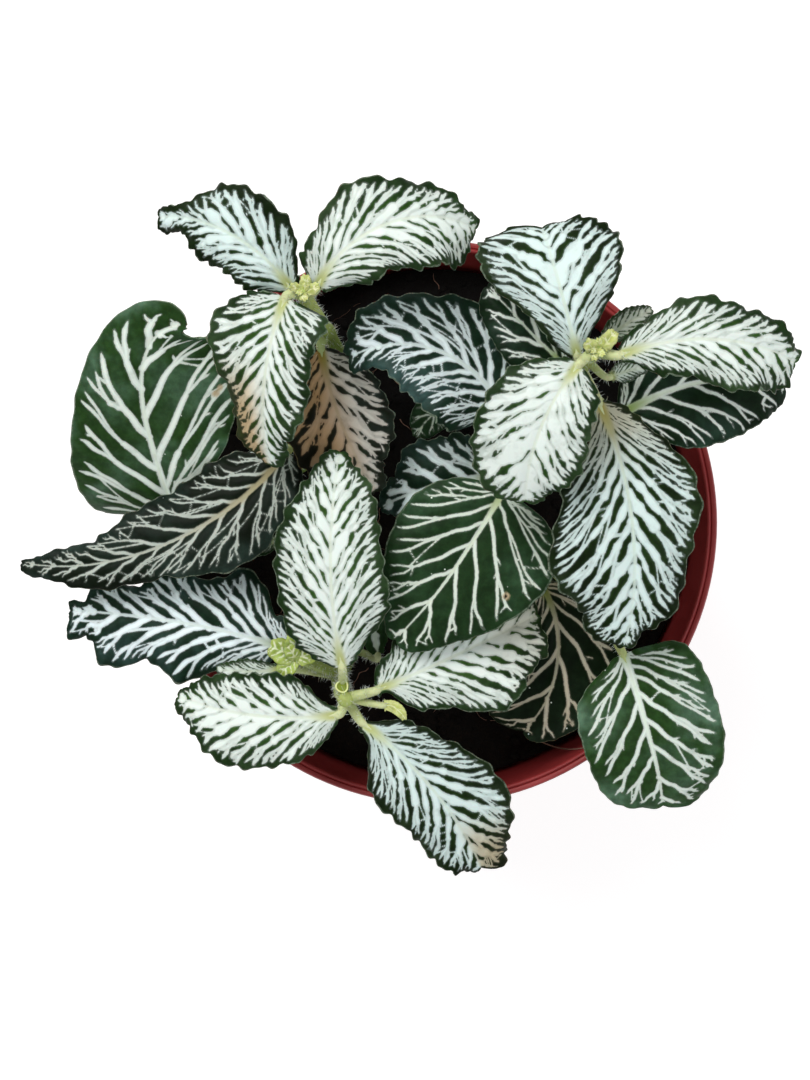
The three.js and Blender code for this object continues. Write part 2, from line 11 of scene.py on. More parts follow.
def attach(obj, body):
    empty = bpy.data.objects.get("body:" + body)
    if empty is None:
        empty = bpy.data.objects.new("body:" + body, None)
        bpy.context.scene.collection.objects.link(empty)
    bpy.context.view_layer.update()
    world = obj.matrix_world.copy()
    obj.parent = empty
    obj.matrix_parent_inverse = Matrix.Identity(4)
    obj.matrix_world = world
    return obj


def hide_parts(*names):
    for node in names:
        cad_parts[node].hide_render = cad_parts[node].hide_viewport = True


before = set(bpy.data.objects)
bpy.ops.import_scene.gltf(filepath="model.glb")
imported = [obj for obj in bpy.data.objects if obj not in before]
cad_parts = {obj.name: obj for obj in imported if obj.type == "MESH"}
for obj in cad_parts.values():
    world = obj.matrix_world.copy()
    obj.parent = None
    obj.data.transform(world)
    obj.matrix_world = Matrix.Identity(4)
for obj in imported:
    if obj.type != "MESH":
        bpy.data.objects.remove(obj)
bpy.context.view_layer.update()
print("frame loaded:", len(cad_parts), "nodes")

mm = 0.001
degree = math.pi / 180
seeds = dict(leaf=100, stem=300, bud=700, soilTop=51, soilBits=52)


# Small helpers

def lerp(a, b, t):
    return a + (b - a) * t


def smoothStep(x, low, high):
    t = np.clip((x - low) / (high - low), 0, 1)
    return t * t * (3 - 2 * t)


def unit(v):
    return v / (np.linalg.norm(v, axis=-1, keepdims=True) + 1e-12)


def newObject(name, data):
    made = bpy.data.objects.new(name, data)
    bpy.context.scene.collection.objects.link(made)
    return made


# Points in millimetres; faces as lists of corner numbers; fields are floats for each point
def newPiece(name, points, faces, material, slot, fields=None):
    mesh = bpy.data.meshes.new(name)
    mesh.from_pydata((np.asarray(points) * mm).tolist(), [], faces)
    for field, values in (fields or {}).items():
        layer = mesh.attributes.new(field, "FLOAT", "POINT")
        layer.data.foreach_set("value", np.asarray(values, dtype=np.float32))
    mesh.shade_smooth()
    mesh.materials.append(material)
    piece = newObject(name, mesh)
    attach(piece, "root")
    return piece


# Gathers the points, faces and fields of many small forms for one piece
class Bundle:
    def __init__(self, *fields):
        self.points, self.faces, self.count = [], [], 0
        self.fields = {field: [] for field in fields}

    def add(self, points, faces, **values):
        points = np.asarray(points, dtype=float)
        self.points.append(points)
        self.faces.extend([[corner + self.count for corner in face] for face in faces])
        self.count += len(points)
        for field, kept in self.fields.items():
            kept.append(np.broadcast_to(np.asarray(values.get(field, 0.0), dtype=float), (len(points),)))

    def build(self, name, material, slot):
        fields = {field: np.concatenate(kept) for field, kept in self.fields.items()}
        return newPiece(name, np.concatenate(self.points), self.faces, material, slot, fields)


def evenAngles(count):
    return np.arange(count) * 2 * np.pi / count


# Quads between rings of points, where every ring has as many points as there are sides
def ringFaces(rings, sides):
    faces = []
    for i in range(rings - 1):
        for j in range(sides):
            k = (j + 1) % sides
            faces.append([i * sides + j, i * sides + k, (i + 1) * sides + k, (i + 1) * sides + j])
    return faces


# These and a fan at each end; the middles of the two fans follow the rings' points
def closedFaces(rings, sides):
    last = (rings - 1) * sides
    count = rings * sides
    faces = ringFaces(rings, sides)
    faces += [[count, (j + 1) % sides, j] for j in range(sides)]
    faces += [[count + 1, last + j, last + (j + 1) % sides] for j in range(sides)]
    return faces


# These and a flat face at each end
def cappedFaces(rings, sides):
    last = (rings - 1) * sides
    return ringFaces(rings, sides) + [list(range(sides))[::-1], list(range(last, last + sides))]


# A closed tube along points; radii holds one radius for each point, and both ends are rounded
def tubeMesh(points, radii, sides):
    points = np.asarray(points, dtype=float)
    radii = np.broadcast_to(np.asarray(radii, dtype=float), (len(points),))
    ahead = unit(np.gradient(points, axis=0))
    across = unit(np.cross(ahead[0], [0.3, 0.5, 0.81]))  # any direction that no tube starts in
    rings = []
    angles = evenAngles(sides)
    for point, radius, way in zip(points, radii, ahead):
        across = unit(across - way * across.dot(way))
        other = np.cross(way, across)
        rings.append(point + radius * (np.cos(angles)[:, None] * across + np.sin(angles)[:, None] * other))
    ends = [points[0] - 0.5 * radii[0] * ahead[0], points[-1] + 0.5 * radii[-1] * ahead[-1]]
    return np.concatenate(rings + [np.array(ends)]), closedFaces(len(points), sides)


# A value for each ring of a tube as values for all its points, with the two end points last
def ringValues(values, sides):
    return np.concatenate([np.repeat(values, sides), values[[0, -1]]])


# Between b and c, on the smooth curve through four neighbours
def onCurve(a, b, c, d, t):
    return b + 0.5 * t * (c - a + t * (2 * a - 5 * b + 4 * c - d + t * (3 * (b - c) + d - a)))


# Points on the smooth curve through the given ones
def smoothCurve(knots, count):
    knots = np.asarray(knots, dtype=float)
    padded = np.vstack([2 * knots[0] - knots[1], knots, 2 * knots[-1] - knots[-2]])
    place = np.linspace(0, len(knots) - 1, count)
    low = np.minimum(place.astype(int), len(knots) - 2)
    return onCurve(*(padded[low + k] for k in range(4)), (place - low)[:, None])


# Leaves: foot, length, turn, pitch and roll of the midrib in degrees, half widths on both sides at five
# stations, lean of the side veins (left foot, right foot, left tip, right tip), and waves of the edge
# with their height, number and start. hook: how much further the tip turns. look: colours and vein style
# where they aren't the kind's own, and veins: changes to that style. veil: a warm tint and the stretch
# over which it grows, along and across the blade, partly the blade's own tan and partly painted shade
# where it lies under other leaves. marks: places of scars on the flattened blade, each with a radius and
# 1 if it is also a hole, painted near black as painted shade seen through it.

leafTable = {
    "leaf_crown_left_a": dict(at=(-28, 44, 142), long=32, turn=(125, 178), pitch=(26, -38),
        roll=(-15, -10), left=(5, 8, 7, 4, 3), right=(4, 8, 10, 3, 2.5), fan=(10, 10, 30, 30),
        wave=(1.2, 3, 0), lobe=0.8, kind="young", look="ripe"),
    "leaf_crown_left_b": dict(at=(-23, 44, 145), long=39, turn=(61, -22), pitch=(35, -52), roll=(0, 0),
        left=(5, 9, 9, 5, 3), right=(5, 9, 10, 10, 5), fan=(10, 10, 30, 30), wave=(1.2, 4, 0), lobe=0.8,
        kind="young"),
    "leaf_crown_left_c": dict(at=(-29, 42, 145), long=36, turn=(-112, -80), pitch=(3, -52), roll=(5, 34),
        left=(8, 9, 8, 6, 3), right=(8, 12, 9, 6, 3), fan=(-15, -15, 35, 35), wave=(1.2, 3, 0), lobe=0.8,
        kind="young",
        veil=dict(amount=0.9, along=(0.3, 0.6), across=(-0.15, 0.5)),
        veins=dict(near=0.68, far=0.56)),
    "leaf_crown_left_d": dict(at=(-23, 34, 127), long=31, turn=(-80, -58), pitch=(-4, -22), roll=(0, 0),
        left=(4, 10, 10, 6, 3), right=(4, 9, 12, 8, 3), fan=(-5, -5, 40, 40), wave=(1.2, 3, 0), lobe=0.6,
        kind="tan",
        veil=dict(amount=1.0, along=(1.25, 0.45), across=(-0.5, 0.3))),
    "leaf_crown_right_a": dict(at=(26, 31, 146), long=27.5, turn=(107, 103), pitch=(38, -45), roll=(0, 0),
        left=(3, 7, 13, 14, 9), right=(3, 9, 15, 11, 6), fan=(15, 15, 28, 28), wave=(1.2, 3, 0), lobe=0.6,
        kind="young", look="ripe",
        veins=dict(near=0.68, far=0.56)),
    "leaf_crown_right_b": dict(at=(34, 31, 147), long=37.5, turn=(20, -25), pitch=(26, -45), roll=(0, 0),
        left=(3, 7, 8, 6, 4), right=(3, 7, 9.5, 9, 4.5), fan=(0, 0, 45, 45), wave=(1.3, 4, 0), lobe=0.6,
        kind="young"),
    "leaf_crown_right_c": dict(at=(26, 29, 149), long=31, turn=(-130, -88), pitch=(3, -50), roll=(0, 0),
        left=(5, 9, 10, 8, 4), right=(5, 10, 13, 9, 4), fan=(-10, -10, 40, 40), wave=(1.2, 3, 0), lobe=0.6,
        kind="young",
        veins=dict(near=0.9, far=0.82)),
    "leaf_crown_right_d": dict(at=(31, 23, 135), long=51, turn=(-66, -100), pitch=(7, -32), roll=(0, 0),
        left=(4, 12, 13, 8.5, 3), right=(5, 13, 17, 12, 5), fan=(-5, -5, 45, 45), wave=(1.3, 4, 0), lobe=1,
        kind="young", look="ripe",
        veins=dict(near=0.58, far=0.52, root=3.4), veil=dict(amount=0.6, along=(0.35, 0.05))),
    "leaf_crown_front_a": dict(at=(-19, -29, 121), long=44.5, turn=(101, 80), pitch=(33, -12), roll=(0, 0),
        left=(5, 10.5, 11, 8, 3.5), right=(5, 10.5, 11, 8, 3.5), fan=(-5, -5, 40, 40), wave=(1.2, 3, 0),
        lobe=0.6, kind="young"),
    "leaf_crown_front_b": dict(at=(-12, -34, 117), long=37, turn=(22, 27), pitch=(-14, -12), roll=(0, 0),
        left=(4, 10, 11, 9, 4), right=(2, 9, 14, 11, 4), fan=(-5, -5, 40, 40), wave=(1.2, 4, 0), lobe=1,
        kind="young",
        veil=dict(amount=0.35, along=(0.5, 0.9))),
    "leaf_crown_front_c": dict(at=(-20, -39, 117), long=34, turn=(-174, -198), pitch=(12, -27),
        roll=(0, 0), left=(4, 10, 11, 7.5, 3), right=(3, 8, 9, 6, 3), fan=(0, 0, 35, 35), wave=(1.2, 3, 0),
        lobe=0.6, kind="young"),
    "leaf_crown_front_d": dict(at=(-15, -41, 113), long=42, turn=(-36, -68), pitch=(10, -36), roll=(0, 0),
        left=(2, 9, 12, 11, 6), right=(3, 9, 11, 8, 5), fan=(-5, -5, 45, 45), wave=(1.2, 3, 0), lobe=1.2,
        kind="young", look="ripe",
        veins=dict(near=0.62, far=0.54, root=3.2),
        veil=dict(amount=0.8, along=(0.6, 0.85), across=(0.3, -0.2))),
    "leaf_old_left": dict(at=(-53.9, 1.6, 107.2), long=50.5, turn=(107, 92), pitch=(37, 28),
        roll=(-26, 20), left=(15, 18, 14.8, 9.5, 4.5), right=(4, 17, 22, 15, 3), fan=(-20, 6, 20, 48),
        wave=(0.8, 2, 0), lobe=0.4, hook=-115, kind="green",
        marks=[(15.2, 28.2, 0.8, 0), (16.2, 29.4, 0.65, 0)]),
    "leaf_long_left": dict(at=(-30, 14, 120.5), long=63, turn=(-128, -188), pitch=(0, -18), roll=(12, 0),
        left=(7, 11, 7, 5, 3), right=(6, 10, 9, 5, 2), fan=(-5, -5, 40, 40), wave=(1, 4, 0), lobe=0.5,
        kind="dark",
        veil=dict(amount=0.12)),
    "leaf_silver_left": dict(at=(-30, -26, 111), long=47, turn=(163, 178), pitch=(-5, -10), roll=(0, 0),
        left=(4, 9, 11, 10, 5), right=(6, 12, 10, 7, 3), fan=(-5, -5, 35, 35), wave=(1, 5, 0.42), lobe=1.8,
        kind="silver"),
    "leaf_old_middle": dict(at=(13, 6, 124), long=37, turn=(-118, -133), pitch=(-6, -10), roll=(0, 0),
        left=(11, 17, 15, 9, 4), right=(9, 15, 14, 9, 4), fan=(-10, -10, 40, 40), wave=(0.8, 2, 0),
        lobe=0.4, kind="old",
        marks=[(-11.5, 17, 0.7, 1)]),
    "leaf_young_middle": dict(at=(11, 9, 112), long=24, turn=(-179, -150), pitch=(10, -25), roll=(0, 0),
        left=(4, 7, 8, 6, 2), right=(6, 10, 9, 5, 2), fan=(0, 0, 30, 30), wave=(1, 4, 0), lobe=0.8,
        kind="silver"),
    "leaf_net_back": dict(at=(13, 21, 126), long=37, turn=(112, 206), pitch=(26, -8), roll=(15, 0),
        left=(9, 13, 10, 6, 4), right=(6, 12, 12, 9, 4), fan=(-5, -5, 45, 45), wave=(1.2, 3, 0), lobe=0.6,
        kind="silver",
        veins=dict(root=3.4, tip=1.4, near=0.44, far=0.36, links=0.45, link=0.4, twigs=0.25)),
    "leaf_old_back": dict(at=(24, 30, 137), long=21, turn=(136, 132), pitch=(10, -12), roll=(0, 0),
        left=(4, 7, 7, 5, 2), right=(5, 8, 8, 5, 2), fan=(0, 0, 40, 40), wave=(0.6, 2, 0), lobe=0.3,
        kind="old", look="deep",
        veins=dict(root=4, tip=1.7, rib=0.35)),
    "leaf_old_right": dict(at=(36, 21, 131), long=34.5, turn=(32, -12), pitch=(16, -28), roll=(0, 0),
        left=(5, 11, 12, 9, 5), right=(6, 12, 12, 9, 5), fan=(-5, -5, 40, 40), wave=(0.7, 2, 0), lobe=0.3,
        kind="old", look="deep",
        veins=dict(root=6, near=0.33, far=0.27, rib=0.85)),
    "leaf_old_corner": dict(at=(38, -27, 113), long=35.5, turn=(-70, -78), pitch=(9, -40), roll=(0, 0),
        left=(10, 15, 15, 13, 8), right=(5, 12, 14, 11, 5), fan=(-15, -15, 30, 30), wave=(0.8, 3, 0),
        lobe=0.5, kind="green",
        veins=dict(root=4.3, tip=1.9, near=0.4, far=0.35, thick=0.5, thin=0.2, twigs=0.2, twig=1.0,
                   twigWide=0.26)),
    "leaf_dark_corner": dict(at=(22, -13, 101), long=34, turn=(-58, -135), pitch=(0, -15), roll=(0, 0),
        left=(6, 12, 13, 9, 4), right=(5, 12, 14, 13, 8), fan=(-5, -5, 40, 40), wave=(0.7, 2, 0), lobe=0.3,
        kind="old", look="deep",
        veins=dict(near=0.26, far=0.2, thick=0.45, twigs=0.1), veil=dict(amount=0.6)),
    "leaf_small_back": dict(at=(4, 26, 110), long=12, turn=(215, 235), pitch=(0, -20), roll=(0, 0),
        left=(2, 4, 4, 3, 1), right=(2, 4, 4, 3, 1), fan=(0, 0, 35, 35), wave=(0.3, 2, 0), lobe=0.2,
        small=True, kind="old"),
    "leaf_small_right": dict(at=(32, 35, 137), long=11, turn=(35, 30), pitch=(5, -20), roll=(0, 0),
        left=(1.5, 2.5, 3, 2, 1), right=(1.5, 2.5, 3, 2, 1), fan=(0, 0, 35, 35), wave=(0.3, 2, 0),
        lobe=0.2, small=True, kind="tan", look="young", veil=dict(amount=0.15)),
    "leaf_small_node": dict(at=(33, 27.5, 139), long=7, turn=(25, 5), pitch=(5, -10), roll=(0, 0),
        left=(1, 2, 2, 1.5, 1), right=(1, 2, 2, 1.5, 1), fan=(0, 0, 35, 35), wave=(0.2, 2, 0), lobe=0.1,
        small=True, kind="young"),
    "leaf_small_left": dict(at=(-32, -30, 113.5), long=13, turn=(188, 172), pitch=(0, -15), roll=(0, 0),
        left=(1.5, 2.5, 3, 2.5, 1), right=(1.2, 2, 2.5, 2, 1), fan=(0, 0, 35, 35), wave=(0.3, 2, 0),
        lobe=0.2, small=True, kind="young"),
    "leaf_small_front": dict(at=(-12, -27, 110), long=9, turn=(100, 95), pitch=(0, -10), roll=(0, 0),
        left=(1.5, 2.5, 3, 2, 1), right=(1.5, 2.5, 3, 2, 1), fan=(0, 0, 35, 35), wave=(0.3, 2, 0),
        lobe=0.2, small=True, kind="lime", look="green"),
    "leaf_small_hidden": dict(at=(-33, -4, 105), long=11, turn=(188, 180), pitch=(0, -10), roll=(0, 0),
        left=(1.5, 2.5, 2.5, 2, 1), right=(1.5, 2.5, 2.5, 2, 1), fan=(0, 0, 35, 35), wave=(0.3, 2, 0),
        lobe=0.2, small=True, kind="old"),
    "leaf_small_bract": dict(at=(-10.6, -37.2, 115.4), long=5.4, turn=(5, -75), pitch=(5, -15),
        roll=(0, 0), left=(0.9, 1.1, 1.1, 0.9, 0.5), right=(0.9, 1.1, 1.1, 0.9, 0.5), fan=(0, 0, 30, 30),
        wave=(0.1, 1, 0), lobe=0, small=True, kind="lime",
        veins=dict(near=0.05, far=0.05, thick=0.03, thin=0.01)),
}


# Shader nodes

# A colour such as 1b3a26 as a linear colour
def tint(code):
    parts = [int(code[i:i + 2], 16) / 255 for i in (0, 2, 4)]
    return [p / 12.92 if p <= 0.04045 else ((p + 0.055) / 1.055) ** 2.4 for p in parts] + [1.0]


# A new node; an input is linked if its value is a socket, and set if it is not
def node(tree, kind, inputs=None, **settings):
    made = tree.nodes.new(kind)
    for key, value in settings.items():
        setattr(made, key, value)
    for key, value in (inputs or {}).items():
        if isinstance(value, bpy.types.NodeSocket):
            tree.links.new(value, made.inputs[key])
        else:
            made.inputs[key].default_value = value
    return made


def calc(tree, operation, a, b, c=0.0):
    made = node(tree, "ShaderNodeMath", {0: a, 1: b, 2: c}, operation=operation)
    return made.outputs[0]


def mix(tree, factor, a, b, kind="MIX"):
    made = node(tree, "ShaderNodeMix", {0: factor, 6: a, 7: b}, data_type="RGBA", blend_type=kind)
    return made.outputs[2]


# Value between low and high, turned smoothly into first to last
def span(tree, value, low, high, first=0.0, last=1.0):
    sockets = {"Value": value, "From Min": low, "From Max": high, "To Min": first, "To Max": last}
    return node(tree, "ShaderNodeMapRange", sockets, interpolation_type="SMOOTHSTEP").outputs["Result"]


def noise(tree, place, scale, detail, rough):
    sockets = {"Vector": place, "Scale": scale, "Detail": detail, "Roughness": rough}
    return node(tree, "ShaderNodeTexNoise", sockets).outputs["Fac"]


def readField(tree, name):
    return node(tree, "ShaderNodeAttribute", attribute_name=name, attribute_type="GEOMETRY").outputs["Fac"]


# Inputs are (name, kind, value) and outputs (name, kind), where kind is Color, Float or Vector
def newGroup(name, inputs, outputs):
    tree = bpy.data.node_groups.new(name, "ShaderNodeTree")
    for label, kind, value in inputs:
        socket = tree.interface.new_socket(name=label, in_out="INPUT", socket_type="NodeSocket" + kind)
        if value is not None:
            socket.default_value = value
    for label, kind in outputs:
        tree.interface.new_socket(name=label, in_out="OUTPUT", socket_type="NodeSocket" + kind)
    return tree, tree.nodes.new("NodeGroupInput").outputs, tree.nodes.new("NodeGroupOutput").inputs


# A material with its Principled BSDF, whose sockets named in fixed are set
def newMaterial(name, **fixed):
    material = bpy.data.materials.new(name)
    material.use_nodes = True
    tree = material.node_tree
    shader = tree.nodes["Principled BSDF"]
    for label, value in fixed.items():
        shader.inputs[label.replace("_", " ")].default_value = value
    return material, tree, shader


def bump(tree, shader, height, strength, distance):
    made = node(tree, "ShaderNodeBump", {"Height": height, "Strength": strength, "Distance": distance})
    tree.links.new(made.outputs["Normal"], shader.inputs["Normal"])


# Fine grain of a living surface: two sizes of noise as a mask, and their sum as a height

def makeGrainGroup():
    tree, given, out = newGroup(
        "surfaceGrain",
        [("Place", "Vector", None), ("Coarse", "Float", 400.0), ("Fine", "Float", 2600.0)],
        [("Mottle", "Float"), ("Height", "Float")])
    coarse = noise(tree, given["Place"], given["Coarse"], 4.0, 0.6)
    fine = noise(tree, given["Place"], given["Fine"], 2.0, 0.6)
    tree.links.new(coarse, out["Mottle"])
    relief = calc(tree, "MULTIPLY_ADD", fine, 0.35, calc(tree, "MULTIPLY", coarse, 0.65))
    tree.links.new(relief, out["Height"])
    return tree


grainGroup = makeGrainGroup()


def addGrain(tree, coarse, fine):
    place = node(tree, "ShaderNodeTexCoord").outputs["Object"]
    grain = node(tree, "ShaderNodeGroup", node_tree=grainGroup)
    tree.links.new(place, grain.inputs["Place"])
    grain.inputs["Coarse"].default_value = coarse
    grain.inputs["Fine"].default_value = fine
    return place, grain.outputs["Mottle"], grain.outputs["Height"]


# Leaf skin: pale veins with jagged edges over a green ground, all from the fields on the mesh.
# Vein is the distance in millimetres to the nearest vein's edge, negative inside it.

leafFields = ("Vein", "Along", "Across", "Under", "Ribward", "Veil", "Scar", "Pit")
skinTints = dict(rim="8c9a86", tanAndShade="dcb283", scar="c0ad8c", pit="0a0c08", speck="e8efe4",
                 backVein="c3cdb8")
skinScales = dict(teeth=1500.0, patches=90.0, streaks=260.0, specks=260.0)


# The green between the veins: brighter in the slits between broad veins, with a painted greyish sheen, a
# painted reflection, in patches that grow towards the edge
def mixGround(tree, given, patches, ragged):
    inner = calc(tree, "MULTIPLY", span(tree, given["Across"], 0.25, 0.75, 1.0, 0.0),
                 span(tree, given["Vein"], 0.25, 0.9, 1.0, 0.0))
    ground = mix(tree, inner, given["Ground"], given["Slit"])
    # painted sheen: a painted reflection laid into the ground's colour in patches
    paintedSheenMask = calc(tree, "MULTIPLY", span(tree, patches, 0.4, 0.72), given["Painted Sheen"])
    paintedSheenMask = calc(tree, "MULTIPLY", paintedSheenMask, span(tree, given["Across"], 0.2, 0.95, 0.45, 1.0))
    ground = mix(tree, paintedSheenMask, ground, given["Painted Sheen Colour"])
    lit = span(tree, given["Mottle"], 0.3, 0.75, 0.72, 1.28)
    ground = mix(tree, 1.0, ground, lit, "MULTIPLY")
    halo = calc(tree, "MULTIPLY", span(tree, ragged, 0.05, 0.3, 1.0, 0.0), 0.1)
    return mix(tree, halo, ground, given["Vein Colour"])


# Veins are a little translucent where they are thin, and streaked, with a greener line along the midrib
def mixVein(tree, given):
    faint = calc(tree, "MULTIPLY", span(tree, given["Vein"], -0.5, -0.05), 0.26)
    vein = mix(tree, faint, given["Vein Colour"], given["Slit"])
    streak = noise(tree, given["Place"], skinScales["streaks"], 4.0, 0.6)
    vein = mix(tree, span(tree, streak, 0.5, 0.78, 0.0, 0.22), vein, given["Slit"])
    line = calc(tree, "MULTIPLY", span(tree, given["Ribward"], 0.12, 0.5, 1.0, 0.0),
                span(tree, given["Along"], 0.3, 0.95, 0.25, 0.08))
    return mix(tree, line, vein, given["Foot Colour"])


# A warm tint, partly the blade's own tan and partly painted shade, then scars, holes painted near black as
# painted shade seen through them, and a few pale specks
def addBlemishes(tree, given, skin, patches):
    veil = calc(tree, "MULTIPLY", given["Veil"], span(tree, patches, 0.2, 0.7, 0.7, 1.0))
    skin = mix(tree, veil, skin, mix(tree, 1.0, skin, tint(skinTints["tanAndShade"]), "MULTIPLY"))
    skin = mix(tree, calc(tree, "MULTIPLY", given["Scar"], 0.9), skin, tint(skinTints["scar"]))
    # painted shade: a hole is painted near black, the shade seen through it
    skin = mix(tree, given["Pit"], skin, tint(skinTints["pit"]))
    sockets = {"Vector": given["Place"], "Scale": skinScales["specks"]}
    cells = node(tree, "ShaderNodeTexVoronoi", sockets, feature="F1")
    dots = span(tree, cells.outputs["Distance"], 0.035, 0.06, 1.0, 0.0)
    return mix(tree, calc(tree, "MULTIPLY", dots, given["Speckle"]), skin, tint(skinTints["speck"]))


def makeLeafGroup():
    # the sheen sockets carry the painted sheen, a painted reflection mixed into the ground
    colours = [("Ground", "Color", tint("1b3a26")), ("Slit", "Color", tint("3f6b2c")),
               ("Vein Colour", "Color", tint("eef2e6")), ("Foot Colour", "Color", tint("8a9a52")),
               ("Back Colour", "Color", tint("7f9a7c")), ("Painted Sheen Colour", "Color", tint("5f7f78"))]
    values = [("Painted Sheen", "Float", 0.2), ("Speckle", "Float", 0.0), ("Foot Reach", "Float", 0.25),
              ("Jag", "Float", 0.3)]
    fields = [(label, "Float", 0.0) for label in leafFields]
    tree, given, out = newGroup(
        "veinedSkin",
        [("Place", "Vector", None), ("Mottle", "Float", 0.5)] + fields + colours + values,
        [("Colour", "Color"), ("Roughness", "Float"), ("Height", "Float")])
    teeth = noise(tree, given["Place"], skinScales["teeth"], 3.0, 0.6)
    patches = noise(tree, given["Place"], skinScales["patches"], 3.0, 0.55)
    ragged = calc(tree, "MULTIPLY_ADD", calc(tree, "SUBTRACT", teeth, 0.5), given["Jag"], given["Vein"])
    pale = span(tree, ragged, -0.05, 0.06, 1.0, 0.0)
    ground = mixGround(tree, given, patches, ragged)
    vein = mixVein(tree, given)
    # the foot of the midrib is green, and so is the ground close beside it
    footward = span(tree, calc(tree, "DIVIDE", given["Along"], given["Foot Reach"]), 0.1, 1.0, 1.0, 0.0)
    foot = calc(tree, "MULTIPLY", span(tree, given["Ribward"], 0.35, 1.5, 1.0, 0.0), footward)
    vein = mix(tree, foot, vein, given["Foot Colour"])
    beside = calc(tree, "MULTIPLY", span(tree, given["Vein"], 0.0, 0.25, 0.6, 0.0), foot)
    ground = mix(tree, beside, ground, given["Foot Colour"])
    skin = mix(tree, pale, ground, vein)
    rim = calc(tree, "MULTIPLY", span(tree, given["Across"], 0.97, 0.99),
               span(tree, teeth, 0.35, 0.65, 0.1, 0.6))
    skin = mix(tree, rim, skin, tint(skinTints["rim"]))
    skin = addBlemishes(tree, given, skin, patches)
    back = mix(tree, calc(tree, "MULTIPLY", pale, 0.6), given["Back Colour"], tint(skinTints["backVein"]))
    skin = mix(tree, calc(tree, "MULTIPLY", given["Under"], 0.85), skin, back)
    rough = calc(tree, "MULTIPLY_ADD", given["Mottle"], 0.22, calc(tree, "MULTIPLY_ADD", pale, 0.08, 0.36))
    relief = calc(tree, "MULTIPLY_ADD", teeth, 0.5, calc(tree, "MULTIPLY", pale, -0.3))
    tree.links.new(skin, out["Colour"])
    tree.links.new(rough, out["Roughness"])
    tree.links.new(relief, out["Height"])
    return tree


leafGroup = makeLeafGroup()

# Each look gives the colour and share of its painted sheen, a painted reflection mixed into the ground;
# footReach is the share of the length over which the foot's green fades
leafLooks = {
    "young": dict(ground="1a2f14", slit="2c4d1a", vein="e6f0ea", foot="b4bb78", paintedSheenTint="56704c", paintedSheen=0.25,
                  speckle=0.0, footReach=0.22),
    "ripe": dict(ground="0f1d07", slit="192f0c", vein="d8eae7", foot="b4bb78", paintedSheenTint="4a6440", paintedSheen=0.2,
                 speckle=0.0, footReach=0.22),
    # the tan look's veins are painted greyer, partly painted shade, as its leaf lies under another leaf
    "tan": dict(ground="13170c", slit="1a2010", vein="cac6bd", foot="8f8c4a", paintedSheenTint="5f7f78", paintedSheen=0.15,
                speckle=0.0, footReach=0.3),
    "green": dict(ground="25411c", slit="243f18", vein="e6f1e8", foot="c3d4b0", paintedSheenTint="6c8e78", paintedSheen=0.55,
                  speckle=0.6, footReach=0.1),
    "old": dict(ground="1b3218", slit="1d351a", vein="e6f0e3", foot="b3c190", paintedSheenTint="4f7457", paintedSheen=0.28,
                speckle=0.9, footReach=0.22),
    "deep": dict(ground="0f2110", slit="10230f", vein="f0f8f2", foot="8da35c", paintedSheenTint="46685a", paintedSheen=0.25,
                 speckle=0.9, footReach=0.28),
    "dark": dict(ground="0c150a", slit="0f190c", vein="c8d4cc", foot="a39c79", paintedSheenTint="5f7f78", paintedSheen=0.14,
                 speckle=0.3, footReach=0.55),
    "silver": dict(ground="13281b", slit="162b1c", vein="eaf7fa", foot="98a580", paintedSheenTint="5f7f80", paintedSheen=0.3,
                   speckle=0.3, footReach=0.2),
    "lime": dict(ground="c3ca80", slit="b4bd66", vein="eaedc8", foot="c9cf86", paintedSheenTint="5f7f78", paintedSheen=0.0,
                 speckle=0.0, footReach=0.5),
    "shoot": dict(ground="9db052", slit="8fa544", vein="eef3d6", foot="c9cf86", paintedSheenTint="5f7f78", paintedSheen=0.0,
                  speckle=0.0, footReach=0.3),
}
leafSlots = {"young": "leaf_pale", "tan": "leaf_tan", "green": "leaf_green", "old": "leaf_dark",
             "dark": "leaf_dark", "silver": "leaf_silver", "lime": "leaf_bud"}


def makeLeafMaterial(kind, look):
    material, tree, shader = newMaterial(
        kind + "Leaf", Specular_IOR_Level=0.07, Subsurface_Weight=0.06, Subsurface_Scale=0.001)
    place, mottle, height = addGrain(tree, 500.0, 3200.0)
    skin = node(tree, "ShaderNodeGroup", node_tree=leafGroup)
    for label in leafFields:
        tree.links.new(readField(tree, label.lower()), skin.inputs[label])
    tree.links.new(place, skin.inputs["Place"])
    tree.links.new(mottle, skin.inputs["Mottle"])
    # the sheen colour and share set here make the painted sheen, a painted reflection
    for label, key in (("Ground", "ground"), ("Slit", "slit"), ("Vein Colour", "vein"),
                       ("Foot Colour", "foot"), ("Painted Sheen Colour", "paintedSheenTint")):
        skin.inputs[label].default_value = tint(look[key])
    skin.inputs["Painted Sheen"].default_value = look["paintedSheen"]
    skin.inputs["Speckle"].default_value = look["speckle"]
    skin.inputs["Foot Reach"].default_value = look["footReach"]
    tree.links.new(skin.outputs["Colour"], shader.inputs["Base Color"])
    tree.links.new(skin.outputs["Roughness"], shader.inputs["Roughness"])
    relief = calc(tree, "ADD", skin.outputs["Height"], height)
    bump(tree, shader, relief, 0.35, 0.0002)
    return material


leafMaterials = {kind: makeLeafMaterial(kind, look) for kind, look in leafLooks.items()}
print("leaf materials made:", len(leafMaterials))


# Blades: the solid model's own surface formula, followed on a much finer grid

bladeGrid = dict(along=0.215, across=0.325, fewest=(48, 24))  # spacing in mm, fewest rows and columns
bladeForm = dict(thickness=0.5, quilt=0.2, groove=0.22, rib=0.5, veinRib=0.12, crimp=0.34, oldCrimp=0.35,
                 footHalf=1.2, tipHalf=0.4, squareFoot=0.25, fold=8, droop=1.5, smallDroop=0.3, grown=24,
                 ribSteps=96)


